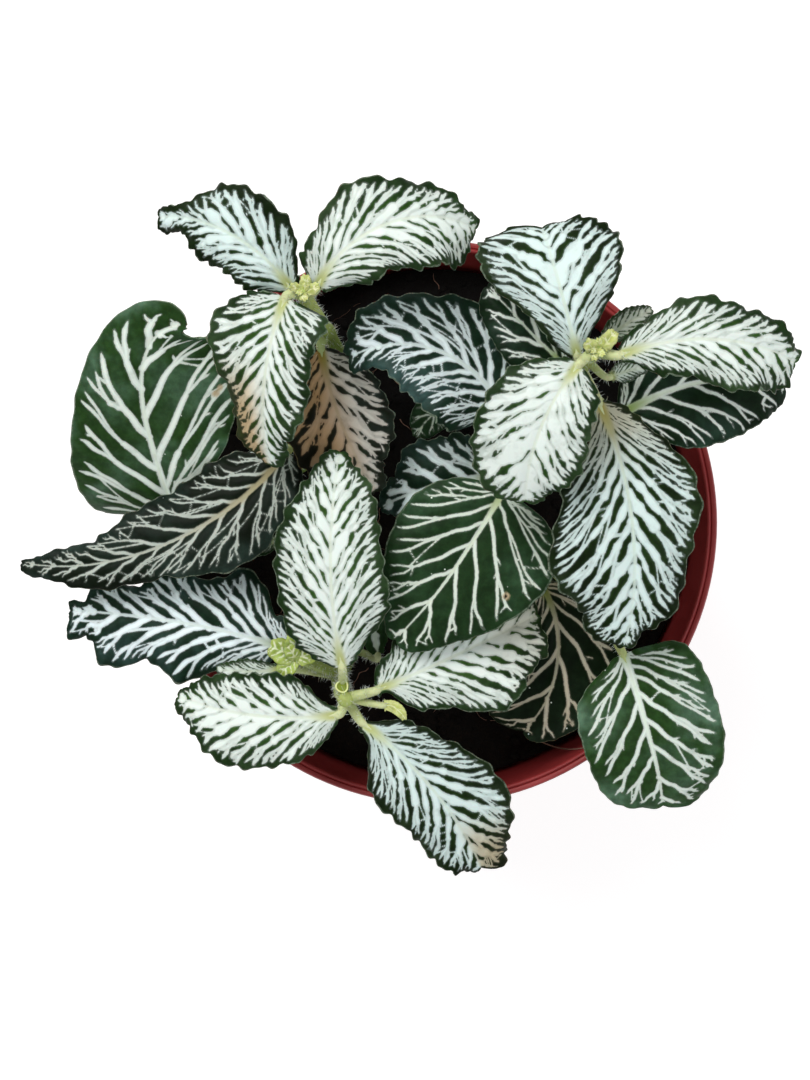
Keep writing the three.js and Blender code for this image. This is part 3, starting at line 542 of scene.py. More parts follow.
# Share of the midrib's length at a station; stations lie closer together at foot and tip
def ribShare(station):
    return (1 - np.cos(np.pi * station)) / 2


def halfWidth(widths, station):
    knots = np.array([bladeForm["footHalf"], *widths, bladeForm["tipHalf"]])
    last = len(knots) - 1
    place = np.clip(station, 0, 1) * last
    low = np.minimum(np.floor(place).astype(int), last - 1)
    return onCurve(*(knots[np.clip(low + k, 0, last)] for k in (-1, 0, 1, 2)), place - low)


def ribFrame(leaf, u):
    turn = degree * (lerp(*leaf["turn"], u) + leaf.get("hook", 0) * u ** 5)
    pitch = degree * lerp(*leaf["pitch"], u)
    roll = (degree * lerp(*leaf.get("roll", (0, 0)), u))[..., None]
    ahead = np.stack([np.cos(pitch) * np.cos(turn), np.cos(pitch) * np.sin(turn), np.sin(pitch)], -1)
    level = np.stack([np.sin(turn), -np.cos(turn), np.zeros_like(turn)], -1)
    above = np.cross(level, ahead)
    return ahead, level * np.cos(roll) - above * np.sin(roll), above * np.cos(roll) + level * np.sin(roll)


def ribPoint(leaf, u):
    steps = bladeForm["ribSteps"]
    ahead = ribFrame(leaf, (np.arange(steps) + 0.5) / steps)[0]
    path = np.concatenate([np.zeros((1, 3)), np.cumsum(ahead, 0)]) * leaf["long"] / steps
    path = path + np.array(leaf["at"])
    return np.stack([np.interp(u * steps, np.arange(steps + 1), path[:, k]) for k in range(3)], -1)


# Station runs from foot to tip and across from the left edge to the right one. The answer holds the
# reach from the midrib, the lean of that reach towards the tip, how near the widest part is, and the
# angle of the edge's waves.
def spread(leaf, station, across):
    u = ribShare(station)
    left = across < 0
    out = np.abs(across)
    plain = np.where(left, halfWidth(leaf["left"], station), halfWidth(leaf["right"], station))
    near = np.minimum(1, 1.6 * plain / np.where(left, max(leaf["left"]), max(leaf["right"])))
    turns = 2 * np.pi * (leaf["wave"][1] * station + leaf["wave"][2] + np.where(left, 0.4, 0))
    width = out * (plain + leaf["lobe"] * out ** 2 * np.cos(turns) * np.minimum(1, plain / 4))
    fan = leaf["fan"]
    lean = np.where(left, lerp(fan[0], fan[2], u), lerp(fan[1], fan[3], u))
    return width, degree * lean * smoothStep(station, 0, bladeForm["squareFoot"]), near, turns


def flatPlace(leaf, station, across):
    width, lean = spread(leaf, station, across)[:2]
    hand = np.where(across < 0, -1.0, 1.0)
    ahead = ribShare(station) * leaf["long"] + width * np.sin(lean)
    return np.stack([hand * width * np.cos(lean), ahead], -1)


# Points of the middle surface, where they lie on the flattened leaf, and the way up
def bladeSurface(leaf, station, across, phases):
    u = ribShare(station)
    hand = np.where(across < 0, -1.0, 1.0)
    out = np.abs(across)
    width, lean, near, turns = spread(leaf, station, across)
    height = leaf["wave"][0]
    calm = bladeForm["oldCrimp"] if leaf["kind"] in ("green", "old") else 1
    ruffle = bladeForm["crimp"] * min(1, leaf["long"] / bladeForm["grown"]) * calm
    crimp = ruffle * near * out ** 6 * (
        np.sin(27 * station * np.pi + phases[0] * hand) + 0.6 * np.sin(46 * station * np.pi + phases[1]))
    width = np.maximum(width + crimp, out * 0.1)
    droop = leaf.get("droop", bladeForm["smallDroop"] if leaf.get("small") else bladeForm["droop"])
    fold = math.tan(degree * leaf.get("fold", bladeForm["fold"]))
    lift = width * fold * (1 - 0.5 * out) - droop * near * out ** 2
    lift = lift + height * near * out ** 3 * np.sin(turns)
    lift = lift + 0.3 * height * near * out ** 4 * np.sin(2.6 * turns + phases[2])
    ahead, side, up = ribFrame(leaf, u)
    points = (ribPoint(leaf, u) + side * (hand * width * np.cos(lean))[..., None]
              + ahead * (width * np.sin(lean))[..., None] + up * lift[..., None])
    flat = np.stack([hand * width * np.cos(lean), u * leaf["long"] + width * np.sin(lean)], -1)
    return points, flat, up


# Veins: lines of flow leave the midrib at a slant and bend out to the edge. A side vein follows its
# own line and forks until each branch feeds one tooth of the edge, and twigs and links lie between.
# root and tip: spacing along the edge of side veins and of teeth; rise: how far up the leaf a line
# climbs, and bow: how it bends; near and far: share of the leaf that is vein by the midrib and by the
# edge; thick, thin and rib: half widths; gap: green edge; swell and sway: how far a vein's width and
# course vary; links and twigs: how many there are; link, twig and twigWide: their sizes.

veinStyles = {
    "young": dict(root=2.7, tip=1.15, rise=0.24, bow=1.9, near=0.75, far=0.66, thick=3.0, thin=0.17,
                  rib=0.8, gap=(0.6, 1.7), swell=0.3, sway=0.24, links=0.3, link=0.5, twigs=0.2,
                  twig=0.6, twigWide=0.3),
    "tan": dict(root=3.2, tip=1.3, rise=0.24, bow=1.9, near=0.72, far=0.56, thick=3.0, thin=0.17,
                rib=0.8, gap=(0.7, 2.2), swell=0.3, sway=0.24, links=0.3, link=0.4, twigs=0.2, twig=0.7,
                twigWide=0.3),
    "green": dict(root=6.2, tip=2.9, rise=0.34, bow=1.6, near=0.42, far=0.36, thick=0.75, thin=0.3,
                  rib=0.95, gap=(1.2, 3.2), swell=0.1, sway=0.3, links=0.06, link=0.3, twigs=0.12,
                  twig=1.5, twigWide=0.4),
    "old": dict(root=5.2, tip=2.1, rise=0.3, bow=1.9, near=0.24, far=0.21, thick=0.38, thin=0.17,
                rib=0.6, gap=(0.5, 1.8), swell=0.08, sway=0.25, links=0.05, link=0.2, twigs=0.07,
                twig=1.4, twigWide=0.2),
    "dark": dict(root=4.6, tip=1.8, rise=0.17, bow=1.6, near=0.23, far=0.18, thick=0.35, thin=0.15,
                 rib=0.5, gap=(0.6, 1.8), swell=0.2, sway=0.3, links=0.35, link=0.24, twigs=0.12,
                 twig=0.8, twigWide=0.22),
    "silver": dict(root=4.4, tip=1.6, rise=0.23, bow=1.8, near=0.6, far=0.47, thick=0.75, thin=0.17,
                   rib=0.8, gap=(0.8, 2.2), swell=0.25, sway=0.3, links=0.12, link=0.4, twigs=0.14,
                   twig=0.8, twigWide=0.3),
    "lime": dict(root=1.6, tip=0.8, rise=0.25, bow=1.8, near=0.4, far=0.3, thick=0.16, thin=0.07,
                 rib=0.2, gap=(0.2, 0.5), swell=0.0, sway=0.1, links=0.0, link=0.1, twigs=0.0, twig=0.3,
                 twigWide=0.1),
    "shoot": dict(root=1.1, tip=0.55, rise=0.25, bow=1.8, near=0.5, far=0.4, thick=0.2, thin=0.08,
                  rib=0.25, gap=(0.15, 0.4), swell=0.0, sway=0.1, links=0.0, link=0.1, twigs=0.0,
                  twig=0.3, twigWide=0.1),
}
veinStyles["deep"] = veinStyles["old"]
veinStyles["ripe"] = veinStyles["young"]
styleShares = ("rise", "bow", "near", "far", "swell", "links", "twigs")  # these don't shrink with a leaf

# What all styles share: steps and shifts along the edge, where and how veins fork, the length over which a
# tip tapers, how far apart the swellings lie, and the rows and the least room in which links lie
growth = dict(edgeSteps=240, crowd=0.4, rootShift=0.2, goalShift=0.12, fork=(0.3, 0.55), forkShift=0.15,
              threeWays=0.3, step=0.6, taper=1.3, margin=0.3, swellEvery=(3.0, 5.5),
              linkRows=(0.24, 0.34, 0.44, 0.54, 0.64, 0.74), linkRoom=0.25, linkReach=5)


# All veins of a leaf as straight bits between points, with a half width at either end
class VeinNet:
    def __init__(self):
        self.lines = []

    def add(self, points, radii):
        points = np.asarray(points, dtype=float)
        radii = np.broadcast_to(np.asarray(radii, dtype=float), (len(points),))
        self.lines.append(np.column_stack([points[:-1], radii[:-1], points[1:], radii[1:]]))

    # for each place on the flattened leaf, how far it lies outside the nearest vein
    def distance(self, flat):
        bits = np.concatenate(self.lines).astype(np.float32)
        flat = flat.astype(np.float32)
        found = np.full(len(flat), 9.0, dtype=np.float32)  # farther than any place is from a vein
        batch = 128
        for first in range(0, len(bits), batch):
            ax, ay, ra, bx, by, rb = bits[first:first + batch].T
            alongX, alongY = bx - ax, by - ay
            dx, dy = flat[:, :1] - ax, flat[:, 1:] - ay
            t = np.clip((dx * alongX + dy * alongY) / (alongX ** 2 + alongY ** 2 + 1e-9), 0, 1)
            gap = np.hypot(dx - t * alongX, dy - t * alongY) - lerp(ra, rb, t)
            found = np.minimum(found, gap.min(1))
        return found


def growSide(net, leaf, hand, style, rng):
    ends = np.linspace(0.02, 0.985, growth["edgeSteps"])
    edge = flatPlace(leaf, ends, np.full(len(ends), hand))
    reaches = np.hypot(*(edge - flatPlace(leaf, ends, np.zeros(len(ends)))).T)
    crowd = (reaches.mean() / np.maximum(reaches, 0.4 * reaches.mean())) ** growth["crowd"]
    arc = np.concatenate([[0], np.cumsum(np.hypot(*np.diff(edge, axis=0).T) * crowd[1:])])

    # the line of flow that meets the edge at a given length along it
    def place(atArc, out):
        end = np.interp(atArc, arc, ends)
        start = np.maximum(0, (end - style["rise"]) / (1 - style["rise"]))
        station = lerp(start, end, 1 - (1 - out) ** style["bow"])
        return flatPlace(leaf, station, hand * out)

    count = max(2, round(arc[-1] / style["root"]))
    borders = np.linspace(0, arc[-1], count + 1)
    borders[1:-1] += rng.uniform(-growth["rootShift"], growth["rootShift"], count - 1) * style["root"]
    branches = []
    todo = [(low, high, (low + high) / 2, 0.0) for low, high in zip(borders[:-1], borders[1:])]
    while todo:
        low, high, atArc, first = todo.pop()
        tips = max(1, round((high - low) / style["tip"]))
        goal = (low + high) / 2 + rng.uniform(-growth["goalShift"], growth["goalShift"]) * (high - low)
        reach = max(2.0, np.interp(goal, arc, reaches))
        last = 1 - rng.uniform(*style["gap"]) / reach
        if tips > 1:
            last = lerp(first, last, rng.uniform(*growth["fork"]))
        last = max(last, first + 0.04)
        t = np.linspace(0, 1, max(4, int(reach * (last - first) / growth["step"])))
        out = lerp(first, last, t)
        way = lerp(atArc, goal, t ** 0.85)
        points = place(way, out)
        ahead = unit(place(way, out + 0.01) - place(way, out - 0.01))
        aside = np.stack([-ahead[:, 1], ahead[:, 0]], -1)
        gap = np.abs(((place(high, out) - place(low, out)) * aside).sum(1))
        sway = style["sway"] * np.sin(rng.uniform(0, 6.3) + t * rng.uniform(4, 9)) * np.sin(np.pi * t)
        points = points + aside * sway[:, None]
        fill = lerp(style["near"], style["far"], smoothStep(out, 0.12, 0.55)) * rng.uniform(0.84, 1.16)
        length = np.concatenate([[0], np.cumsum(np.hypot(*np.diff(points, axis=0).T))])
        swell = np.sin(rng.uniform(0, 6.3) + 6.28 * length / rng.uniform(*growth["swellEvery"]))
        fill = fill * (1 + style["swell"] * swell)
        room = np.hypot(points[:, :1] - edge[:, 0], points[:, 1:] - edge[:, 1]).min(1)
        radii = np.clip(0.5 * fill * gap, style["thin"], style["thick"] * lerp(1, 0.6, out))
        radii = np.minimum(radii, np.maximum(0.1, 0.85 * (room - growth["margin"])))
        if tips == 1:
            left = np.hypot(*(points - points[-1]).T)
            radii = radii * np.clip(left / growth["taper"], 0.2, 1) ** 0.8
        net.add(points, radii)
        branches.append((out, way, radii))
        roomShare = np.clip(room / 2.5, 0.3, min(1, reach / 7))
        growTwigs(net, points, ahead, aside, out, radii, roomShare, style, rng)
        if tips > 1:
            parts = 3 if tips > 3 and rng.random() < growth["threeWays"] else 2
            shift = rng.uniform(-growth["forkShift"], growth["forkShift"], parts - 1)
            bounds = [low, *(low + (high - low) * (np.arange(1, parts) + shift) / parts), high]
            todo += [(a, b, way[-1], last) for a, b in zip(bounds[:-1], bounds[1:])]
    growLinks(net, branches, place, lambda atArc: np.interp(atArc, arc, reaches), style, rng)


# Short pointed twigs that leave a vein at a slant
def growTwigs(net, points, ahead, aside, out, radii, room, style, rng):
    for k in range(1, len(points) - 1):
        if out[k] < 0.25 or rng.random() > style["twigs"]:
            continue
        angle = degree * rng.uniform(28, 60)
        hand = 1 if rng.random() < 0.5 else -1
        heading = ahead[k] * math.cos(angle) + aside[k] * hand * math.sin(angle)
        long = style["twig"] * rng.uniform(0.5, 1.5) * room[k]
        base = min(radii[k], style["twigWide"])
        bend = aside[k] * hand * 0.12 * long
        path = [points[k], points[k] + heading * (radii[k] + 0.5 * long),
                points[k] + heading * (radii[k] + long) - bend]
        net.add(path, [base, 0.7 * base, 0.3 * base])


# Thin links between neighbouring branches, which close the slits between them
def growLinks(net, branches, place, reachAt, style, rng):
    for level in growth["linkRows"]:
        passing = []
        for out, way, radii in branches:
            if out[0] <= level <= out[-1]:
                passing.append((np.interp(level, out, way), np.interp(level, out, radii)))
        passing.sort()
        for (a, ra), (b, rb) in zip(passing[:-1], passing[1:]):
            apart = np.hypot(*(place(b, level) - place(a, level)))
            close = apart < ra + rb + growth["linkRoom"]
            if rng.random() > style["links"] or close or reachAt((a + b) / 2) < growth["linkReach"]:
                continue
            if rng.random() < 0.5:
                a, b = b, a
            t = np.linspace(0, 1, 5)
            path = place(lerp(a, b, t), level + rng.uniform(-0.04, 0.04) + 0.2 * (t - 0.5))
            radius = np.clip(0.6 * min(ra, rb), style["thin"] * 0.8, style["link"])
            net.add(path, radius * (1.2 - 0.5 * np.sin(np.pi * t)))


def growVeins(leaf, style, rng):
    net = VeinNet()
    rib = np.linspace(0, 0.965, 40)
    sway = 0.1 * np.sin(rng.uniform(0, 6.3) + 9 * rib)
    net.add(np.stack([sway, rib * leaf["long"]], -1), style["rib"] * (1 - 0.82 * rib ** 0.9))
    for hand in (-1.0, 1.0):
        growSide(net, leaf, hand, style, rng)
    return net


# Top, underside and rim of a closed blade. The first corner of a face decides which way it splits, and
# here that is along the veins. The underside has half as many rows and columns, so each of its border
# faces takes one corner more from the rim.
def bladeFaces(rows, columns):
    wide = columns + 1
    lowWide = columns // 2 + 1
    count = (rows + 1) * wide
    faces = []
    for i in range(rows):
        for j in range(columns):
            a = i * wide + j
            face = [a, a + 1, a + wide + 1, a + wide]
            faces.append(face[1:] + face[:1] if j < columns // 2 else face)
    for i in range(rows // 2):
        for j in range(columns // 2):
            a = count + i * lowWide + j
            faces.append([a, a + lowWide, a + lowWide + 1, a + 1])
    edge = [(0, j) for j in range(columns)] + [(i, columns) for i in range(rows)]
    edge += [(rows, j) for j in range(columns, 0, -1)] + [(i, 0) for i in range(rows, 0, -1)]
    for k in range(0, len(edge), 2):
        (i, j), (i2, j2), (i3, j3) = edge[k], edge[k + 1], edge[(k + 2) % len(edge)]
        low, high = count + i // 2 * lowWide + j // 2, count + i3 // 2 * lowWide + j3 // 2
        faces.append([low, high, i3 * wide + j3, i2 * wide + j2, i * wide + j])
    return faces


def edgeDistance(leaf, flat):
    station = np.linspace(0, 1, 160)
    found = np.full(len(flat), 99.0)
    for hand in (-1.0, 1.0):
        edge = flatPlace(leaf, station[station > 0.05], np.full(np.sum(station > 0.05), hand))
        found = np.minimum(found, np.hypot(flat[:, :1] - edge[:, 0], flat[:, 1:] - edge[:, 1]).min(1))
    return found


# Share of the warm tint, partly the blade's own tan and partly painted shade, by place along and across it
def veilShare(leaf, u, across):
    veil = leaf.get("veil", dict(amount=0.0))
    share = np.full(len(u), veil["amount"])
    for values, key in ((u, "along"), (across, "across")):
        if key in veil:
            share = share * smoothStep(values, *veil[key])
    return share


# Scars and holes, each given by its place on the flattened blade and its radius; a hole is painted near
# black, painted shade seen through it
def markShares(leaf, flat):
    scar, pit = np.zeros(len(flat)), np.zeros(len(flat))
    for x, y, radius, isHole in leaf.get("marks", ()):
        away = np.hypot(flat[:, 0] - x, flat[:, 1] - y) / radius
        scar = np.maximum(scar, 1 - smoothStep(away, 0.75, 1.25))
        pit = np.maximum(pit, isHole * (1 - smoothStep(away, 0.4, 0.7)))
    return scar, pit


faceCache = {}  # corner numbers of the faces, by rows and columns


def leafStyle(leaf):
    style = dict(veinStyles[leaf.get("look", leaf["kind"])], **leaf.get("veins", {}))
    if leaf.get("small") and leaf["kind"] != "lime":
        shrink = min(1.0, leaf["long"] / bladeForm["grown"])
        style = {key: np.multiply(value, 1 if key in styleShares else shrink)
                 for key, value in style.items()}
    return style


# Points, faces and fields of a closed blade. The ground puffs up between the veins, the midrib lies in a
# groove, and the ribs stand out under the blade.
def bladeMesh(leaf, seed, rows, columns):
    rng = np.random.default_rng(seed)
    style = leafStyle(leaf)
    shrink = min(1.0, leaf["long"] / bladeForm["grown"])
    phases = rng.uniform(0, 2 * np.pi, 3)
    station, across = np.meshgrid(
        np.linspace(0, 1, rows + 1), np.linspace(-1, 1, columns + 1), indexing="ij")
    station, across = station.ravel(), across.ravel()
    middle, flat, up = bladeSurface(leaf, station, across, phases)
    out = np.abs(across)
    distance = growVeins(leaf, style, rng).distance(flat)
    distance = np.maximum(distance, style["gap"][0] - edgeDistance(leaf, flat))
    ribward = np.abs(flat[:, 0])
    puff = 1 - np.exp(-np.maximum(distance, 0) / 0.7)
    relief = bladeForm["quilt"] * shrink * puff * smoothStep(1 - out, 0, 0.12)
    relief -= bladeForm["groove"] * shrink * np.exp(-(ribward / 0.9) ** 2)
    grid = middle.reshape(rows + 1, columns + 1, 3)
    normal = unit(np.cross(np.gradient(grid, axis=1), np.gradient(grid, axis=0))).reshape(-1, 3)
    ends = 1 - smoothStep(np.minimum(station, 1 - station), 0, 0.06)[:, None]
    normal = unit(lerp(normal, up, ends))
    half = bladeForm["thickness"] / 2
    ribbed = bladeForm["rib"] * shrink * np.exp(-(ribward / 0.8) ** 2) * (1 - 0.85 * station)
    ribbed += bladeForm["veinRib"] * shrink * smoothStep(-distance, -0.2, 0.2)
    top = middle + normal * (half + relief)[:, None]
    bottom = middle + normal * (relief - half - ribbed)[:, None]
    lower = np.arange(len(middle)).reshape(rows + 1, columns + 1)[::2, ::2].ravel()
    if (rows, columns) not in faceCache:
        faceCache[rows, columns] = bladeFaces(rows, columns)
    u = ribShare(station)
    fields = {"vein": distance, "along": u, "across": out, "ribward": ribward}
    fields["veil"] = veilShare(leaf, u, across)
    fields["scar"], fields["pit"] = markShares(leaf, flat)
    fields = {name: np.concatenate([values, values[lower]]) for name, values in fields.items()}
    fields["under"] = np.repeat([0.0, 1.0], [len(middle), len(lower)])
    return np.vstack([top, bottom[lower]]), faceCache[rows, columns], fields


for number, (name, leaf) in enumerate(leafTable.items()):
    wide = max(leaf["left"]) + max(leaf["right"])
    rows = max(bladeGrid["fewest"][0], 2 * math.ceil(leaf["long"] / bladeGrid["along"] / 2))
    columns = max(bladeGrid["fewest"][1], 2 * math.ceil(wide / bladeGrid["across"] / 2))
    points, faces, fields = bladeMesh(leaf, seeds["leaf"] + number, rows, columns)
    look = leafMaterials[leaf.get("look", leaf["kind"])]
    blade = newPiece("fine_" + name, points, faces, look, leafSlots[leaf["kind"]], fields)
    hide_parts(name)
print("leaves built:", len(leafTable))


# Stems: a hairy tube up from the soil, swollen where stalks leave it, with a stalk to each leaf that
# runs on as the rib under its blade. The table repeats the solid model's, but for the front stem's bud,
# which is drawn below as the crown of its side shoot.

stemTable = {
    "stem_back_left": dict(
        route=[[-18, 30, 86], [-18.5, 32, 104], [-21.5, 37, 124], [-25, 42, 141], [-25.7, 43.2, 146.5]],
        radius=1.5,
        stalks=[
            dict(leaf="leaf_crown_left_a", start=[-25.4, 42.6, 143], bend=1),
            dict(leaf="leaf_crown_left_b", start=[-25.2, 42.5, 143.5], bend=1),
            dict(leaf="leaf_crown_left_c", start=[-25.6, 43, 145], bend=1),
            dict(leaf="leaf_crown_left_d", start=[-21.8, 37.4, 125.6], bend=1.5),
        ],
        buds=[
            dict(at=[-25.2, 43.6, 146], long=6, turn=80, pitch=60, half=1.9),
            dict(at=[-25.2, 42.8, 146], long=6.5, turn=20, pitch=48, half=1.9),
            dict(at=[-26.2, 43.4, 146], long=5, turn=160, pitch=66, half=1.6),
            dict(at=[-25.8, 42.6, 146], long=4.5, turn=-60, pitch=64, half=1.4),
        ],
    ),
    "stem_left": dict(
        route=[[-24, 12, 86], [-24.5, 13, 98], [-26, 15.5, 110], [-27.5, 17.5, 116.5]],
        radius=1.5,
        stalks=[
            dict(leaf="leaf_long_left", start=[-27.2, 17, 115.5], bend=1.5),
            dict(leaf="leaf_old_left", start=[-24.6, 13.2, 100], bend=9),
            dict(leaf="leaf_small_hidden", start=[-24.4, 12.6, 95], bend=3),
        ],
        buds=[],
    ),
    "stem_front": dict(
        route=[[-17, -24, 86], [-18.5, -28, 98], [-20, -33, 108], [-18.6, -35.6, 115],
               [-18.4, -35.8, 118]],
        radius=1.5,
        stalks=[
            dict(leaf="leaf_crown_front_a", start=[-19, -34.6, 114.5], bend=1.5),
            dict(leaf="leaf_crown_front_b", start=[-18.4, -35.6, 116], bend=1.5),
            dict(leaf="leaf_crown_front_c", start=[-18.6, -36, 115.5], bend=1),
            dict(leaf="leaf_crown_front_d", start=[-18.6, -35.7, 113], bend=1),
            dict(leaf="leaf_silver_left", start=[-19, -29, 101], bend=4),
            dict(leaf="leaf_small_left", start=[-19.6, -32, 106.5], bend=3),
            dict(leaf="leaf_small_front", start=[-18.2, -27.2, 96], bend=3),
            dict(leaf="leaf_small_bract", start=[-18.6, -35.8, 114.6], bend=1),
        ],
        buds=[],
    ),
    "stem_back_right": dict(
        route=[[22, 22, 86], [23, 25, 104], [26, 28.5, 124], [29, 31.6, 141], [29.8, 32.4, 147]],
        radius=1.6,
        stalks=[
            dict(leaf="leaf_crown_right_a", start=[29.2, 31.8, 144.5], bend=1),
            dict(leaf="leaf_crown_right_b", start=[29.3, 31.9, 145], bend=1),
            dict(leaf="leaf_crown_right_c", start=[29.6, 32.3, 146.4], bend=1),
            dict(leaf="leaf_crown_right_d", start=[27.6, 30, 133], bend=2),
            dict(leaf="leaf_old_back", start=[27.8, 30.2, 135], bend=1),
            dict(leaf="leaf_old_right", start=[26.4, 29, 127], bend=2.5),
            dict(leaf="leaf_small_right", start=[28.6, 31.2, 138.6], bend=1),
            dict(leaf="leaf_small_node", start=[28.4, 31, 137.4], bend=1.5),
        ],
        buds=[
            dict(at=[28.8, 32, 147], long=5.5, turn=135, pitch=75, half=2),
            dict(at=[30.8, 32.6, 147], long=6.5, turn=50, pitch=52, half=2.1),
            dict(at=[29.8, 31.8, 147], long=3, turn=-50, pitch=60, half=1.2),
        ],
    ),
    "stem_middle": dict(
        route=[[12, 14, 86], [13, 15, 98], [15, 16, 110], [16, 15, 119], [16.5, 13.5, 123]],
        radius=1.5,
        stalks=[
            dict(leaf="leaf_old_middle", start=[16.2, 14, 121.6], bend=1.5),
            dict(leaf="leaf_young_middle", start=[14.4, 15.8, 107.5], bend=1.5),
            dict(leaf="leaf_net_back", start=[15.6, 15.6, 116.5], bend=2),
            dict(leaf="leaf_small_back", start=[13.6, 15.3, 102], bend=3),
        ],
        buds=[
            dict(at=[16.5, 13.8, 122], long=4, turn=60, pitch=65, half=1.3),
        ],
    ),
    "stem_right": dict(
        route=[[25, -6, 86], [25, -6.5, 92], [24.6, -8, 98], [24, -9.6, 103]],
        radius=1.4,
        stalks=[
            dict(leaf="leaf_dark_corner", start=[24.3, -8.8, 99.6], bend=1),
            dict(leaf="leaf_old_corner", start=[24.1, -9.2, 102], bend=6),
        ],
        buds=[
            dict(at=[24, -9.6, 102.4], long=4, turn=100, pitch=60, half=1.3),
        ],
    ),
}
stemForm = dict(steps=46, sides=14, swelling=0.4, swellReach=2.2, foot=78.0, tipShares=(0.9, 0.75, 0.5),
                stalkSteps=14, stalkSides=10, stalkRadius=1.05, underSteps=6, underRib=0.16,
                hairs=1.1, hairLong=(0.5, 1.5), hairWide=0.06)


# Spikes that stand on a tube, as many for each square millimetre as asked
def addHairs(bundle, points, radii, density, rng, **values):
    points = np.asarray(points)
    radii = np.broadcast_to(radii, (len(points),))
    steps = np.linalg.norm(np.diff(points, axis=0), axis=1)
    arc = np.concatenate([[0], np.cumsum(steps)])
    count = int(arc[-1] * 2 * np.pi * radii.mean() * density)
    at = rng.uniform(0, arc[-1], count)
    place = np.stack([np.interp(at, arc, points[:, k]) for k in range(3)], -1)
    ahead = unit(np.stack([np.interp(at, arc, np.gradient(points[:, k])) for k in range(3)], -1))
    loose = rng.normal(size=(count, 3))
    outward = unit(loose - ahead * (loose * ahead).sum(1)[:, None])
    radius = np.interp(at, arc, radii)[:, None]
    long = rng.uniform(*stemForm["hairLong"], count)[:, None]
    heading = unit(outward + 0.35 * rng.normal(size=(count, 3)))
    root = place + outward * radius * 0.92
    aside = unit(np.cross(heading, ahead)) * stemForm["hairWide"]
    over = np.cross(heading, aside)
    corners = np.stack([root + aside, root - 0.5 * aside + 0.87 * over, root - 0.5 * aside - 0.87 * over,
                        root + heading * long], 1).reshape(-1, 3)
    faces = []
    for k in range(0, 4 * count, 4):
        faces += [[k, k + 1, k + 3], [k + 1, k + 2, k + 3], [k + 2, k, k + 3], [k, k + 2, k + 1]]
    bundle.add(corners, faces, hair=np.tile([0.4, 0.4, 0.4, 1.0], count), **values)


# From the stem in a bend to the leaf's foot, and on under the blade
def stalkPath(stalk):
    leaf = leafTable[stalk["leaf"]]
    ahead = ribFrame(leaf, np.zeros(1))[0][0]
    start, end = np.array(stalk["start"], dtype=float), np.array(leaf["at"], dtype=float)
    reach = np.linalg.norm(end - start)
    leave = unit((end - start) * [1, 1, 0])
    knots = [start, start + 0.3 * reach * leave, end - ahead * min(stalk["bend"], 0.45 * reach), end]
    steps, underSteps = stemForm["stalkSteps"], stemForm["underSteps"]
    t = np.linspace(0, 1, steps)[:, None]
    weights = ((1 - t) ** 3, 3 * t * (1 - t) ** 2, 3 * t * t * (1 - t), t ** 3)
    path = sum(weight * knot for weight, knot in zip(weights, knots))
    u = np.linspace(0.02, stemForm["underRib"], underSteps)
    up = ribFrame(leaf, u)[2]
    under = ribPoint(leaf, u) - up * np.linspace(0.45, 0.75, underSteps)[:, None]
    slim = 0.75 if leaf.get("small") else 1.0
    shares = np.concatenate([np.linspace(1.1, 0.85, steps), np.linspace(0.62, 0.32, underSteps)])
    return np.vstack([path, under]), slim * stemForm["stalkRadius"] * shares


budForm = dict(rows=24, columns=16, fold=24, droop=0.2, scale=0.72, turn=8, curl=-45,
               widths=(0.9, 1.1, 1.15, 1, 0.7))
budScales = {"stem_back_left": 0.5, "stem_back_right": 0.6}
budLooks = {"stem_front": "shoot"}


def budLeaf(name, at, long, turn, pitch, half):
    scale = budScales.get(name, budForm["scale"])
    widths = [share * (half * scale) for share in budForm["widths"]]
    return dict(at=at, long=long * scale, turn=(turn, turn + budForm["turn"]),
                pitch=(pitch, pitch + budForm["curl"]), left=widths, right=widths, fan=(0, 0, 20, 20),
                wave=(0.2, 3, 0.2), lobe=0.25, fold=budForm["fold"], droop=budForm["droop"],
                small=True, kind="lime", look=budLooks.get(name, "lime"))


# Smaller leaflets inside the buds, and the crumpled crown of a side shoot low on the front stem
innerBuds = {
    "stem_back_left": [
        dict(at=[-25.4, 43.4, 146.2], long=3.6, turn=50, pitch=66, half=1.3),
        dict(at=[-25.9, 43.2, 146.2], long=3.2, turn=230, pitch=70, half=1.1),
        dict(at=[-25.0, 43.2, 146.0], long=4.6, turn=100, pitch=40, half=1.5),
    ],
    "stem_back_right": [
        dict(at=[29.6, 32.2, 147], long=3.4, turn=200, pitch=64, half=1.2),
        dict(at=[30.0, 32.8, 147], long=3.0, turn=95, pitch=68, half=1.0),
        dict(at=[29.0, 31.6, 147], long=3.6, turn=-95, pitch=60, half=1.1),
    ],
    "stem_front": [
        dict(at=[-28.6, -27.4, 116.2], long=7.6, turn=152, pitch=26, half=3.0),
        dict(at=[-28.6, -27.0, 116.4], long=6.6, turn=84, pitch=34, half=2.6),
        dict(at=[-28.2, -27.6, 116.3], long=6.0, turn=20, pitch=36, half=2.4),
        dict(at=[-28.6, -27.8, 116.0], long=6.2, turn=222, pitch=26, half=2.2),
        dict(at=[-28.5, -27.3, 116.8], long=4.4, turn=120, pitch=56, half=1.9),
    ],
}
sideShoot = dict(route=[(-19.4, -31.0, 110.0), (-24.0, -29.4, 112.5), (-28.6, -27.2, 116.2)], radius=1.25,
                 steps=12, sides=12)
cutStub = dict(start=(-18.9, -33.6, 110.0), end=(-19.1, -33.2, 117.4), outer=1.4, inner=0.95, depth=0.5,
               sides=18, hairs=2.2, tall=0.7)


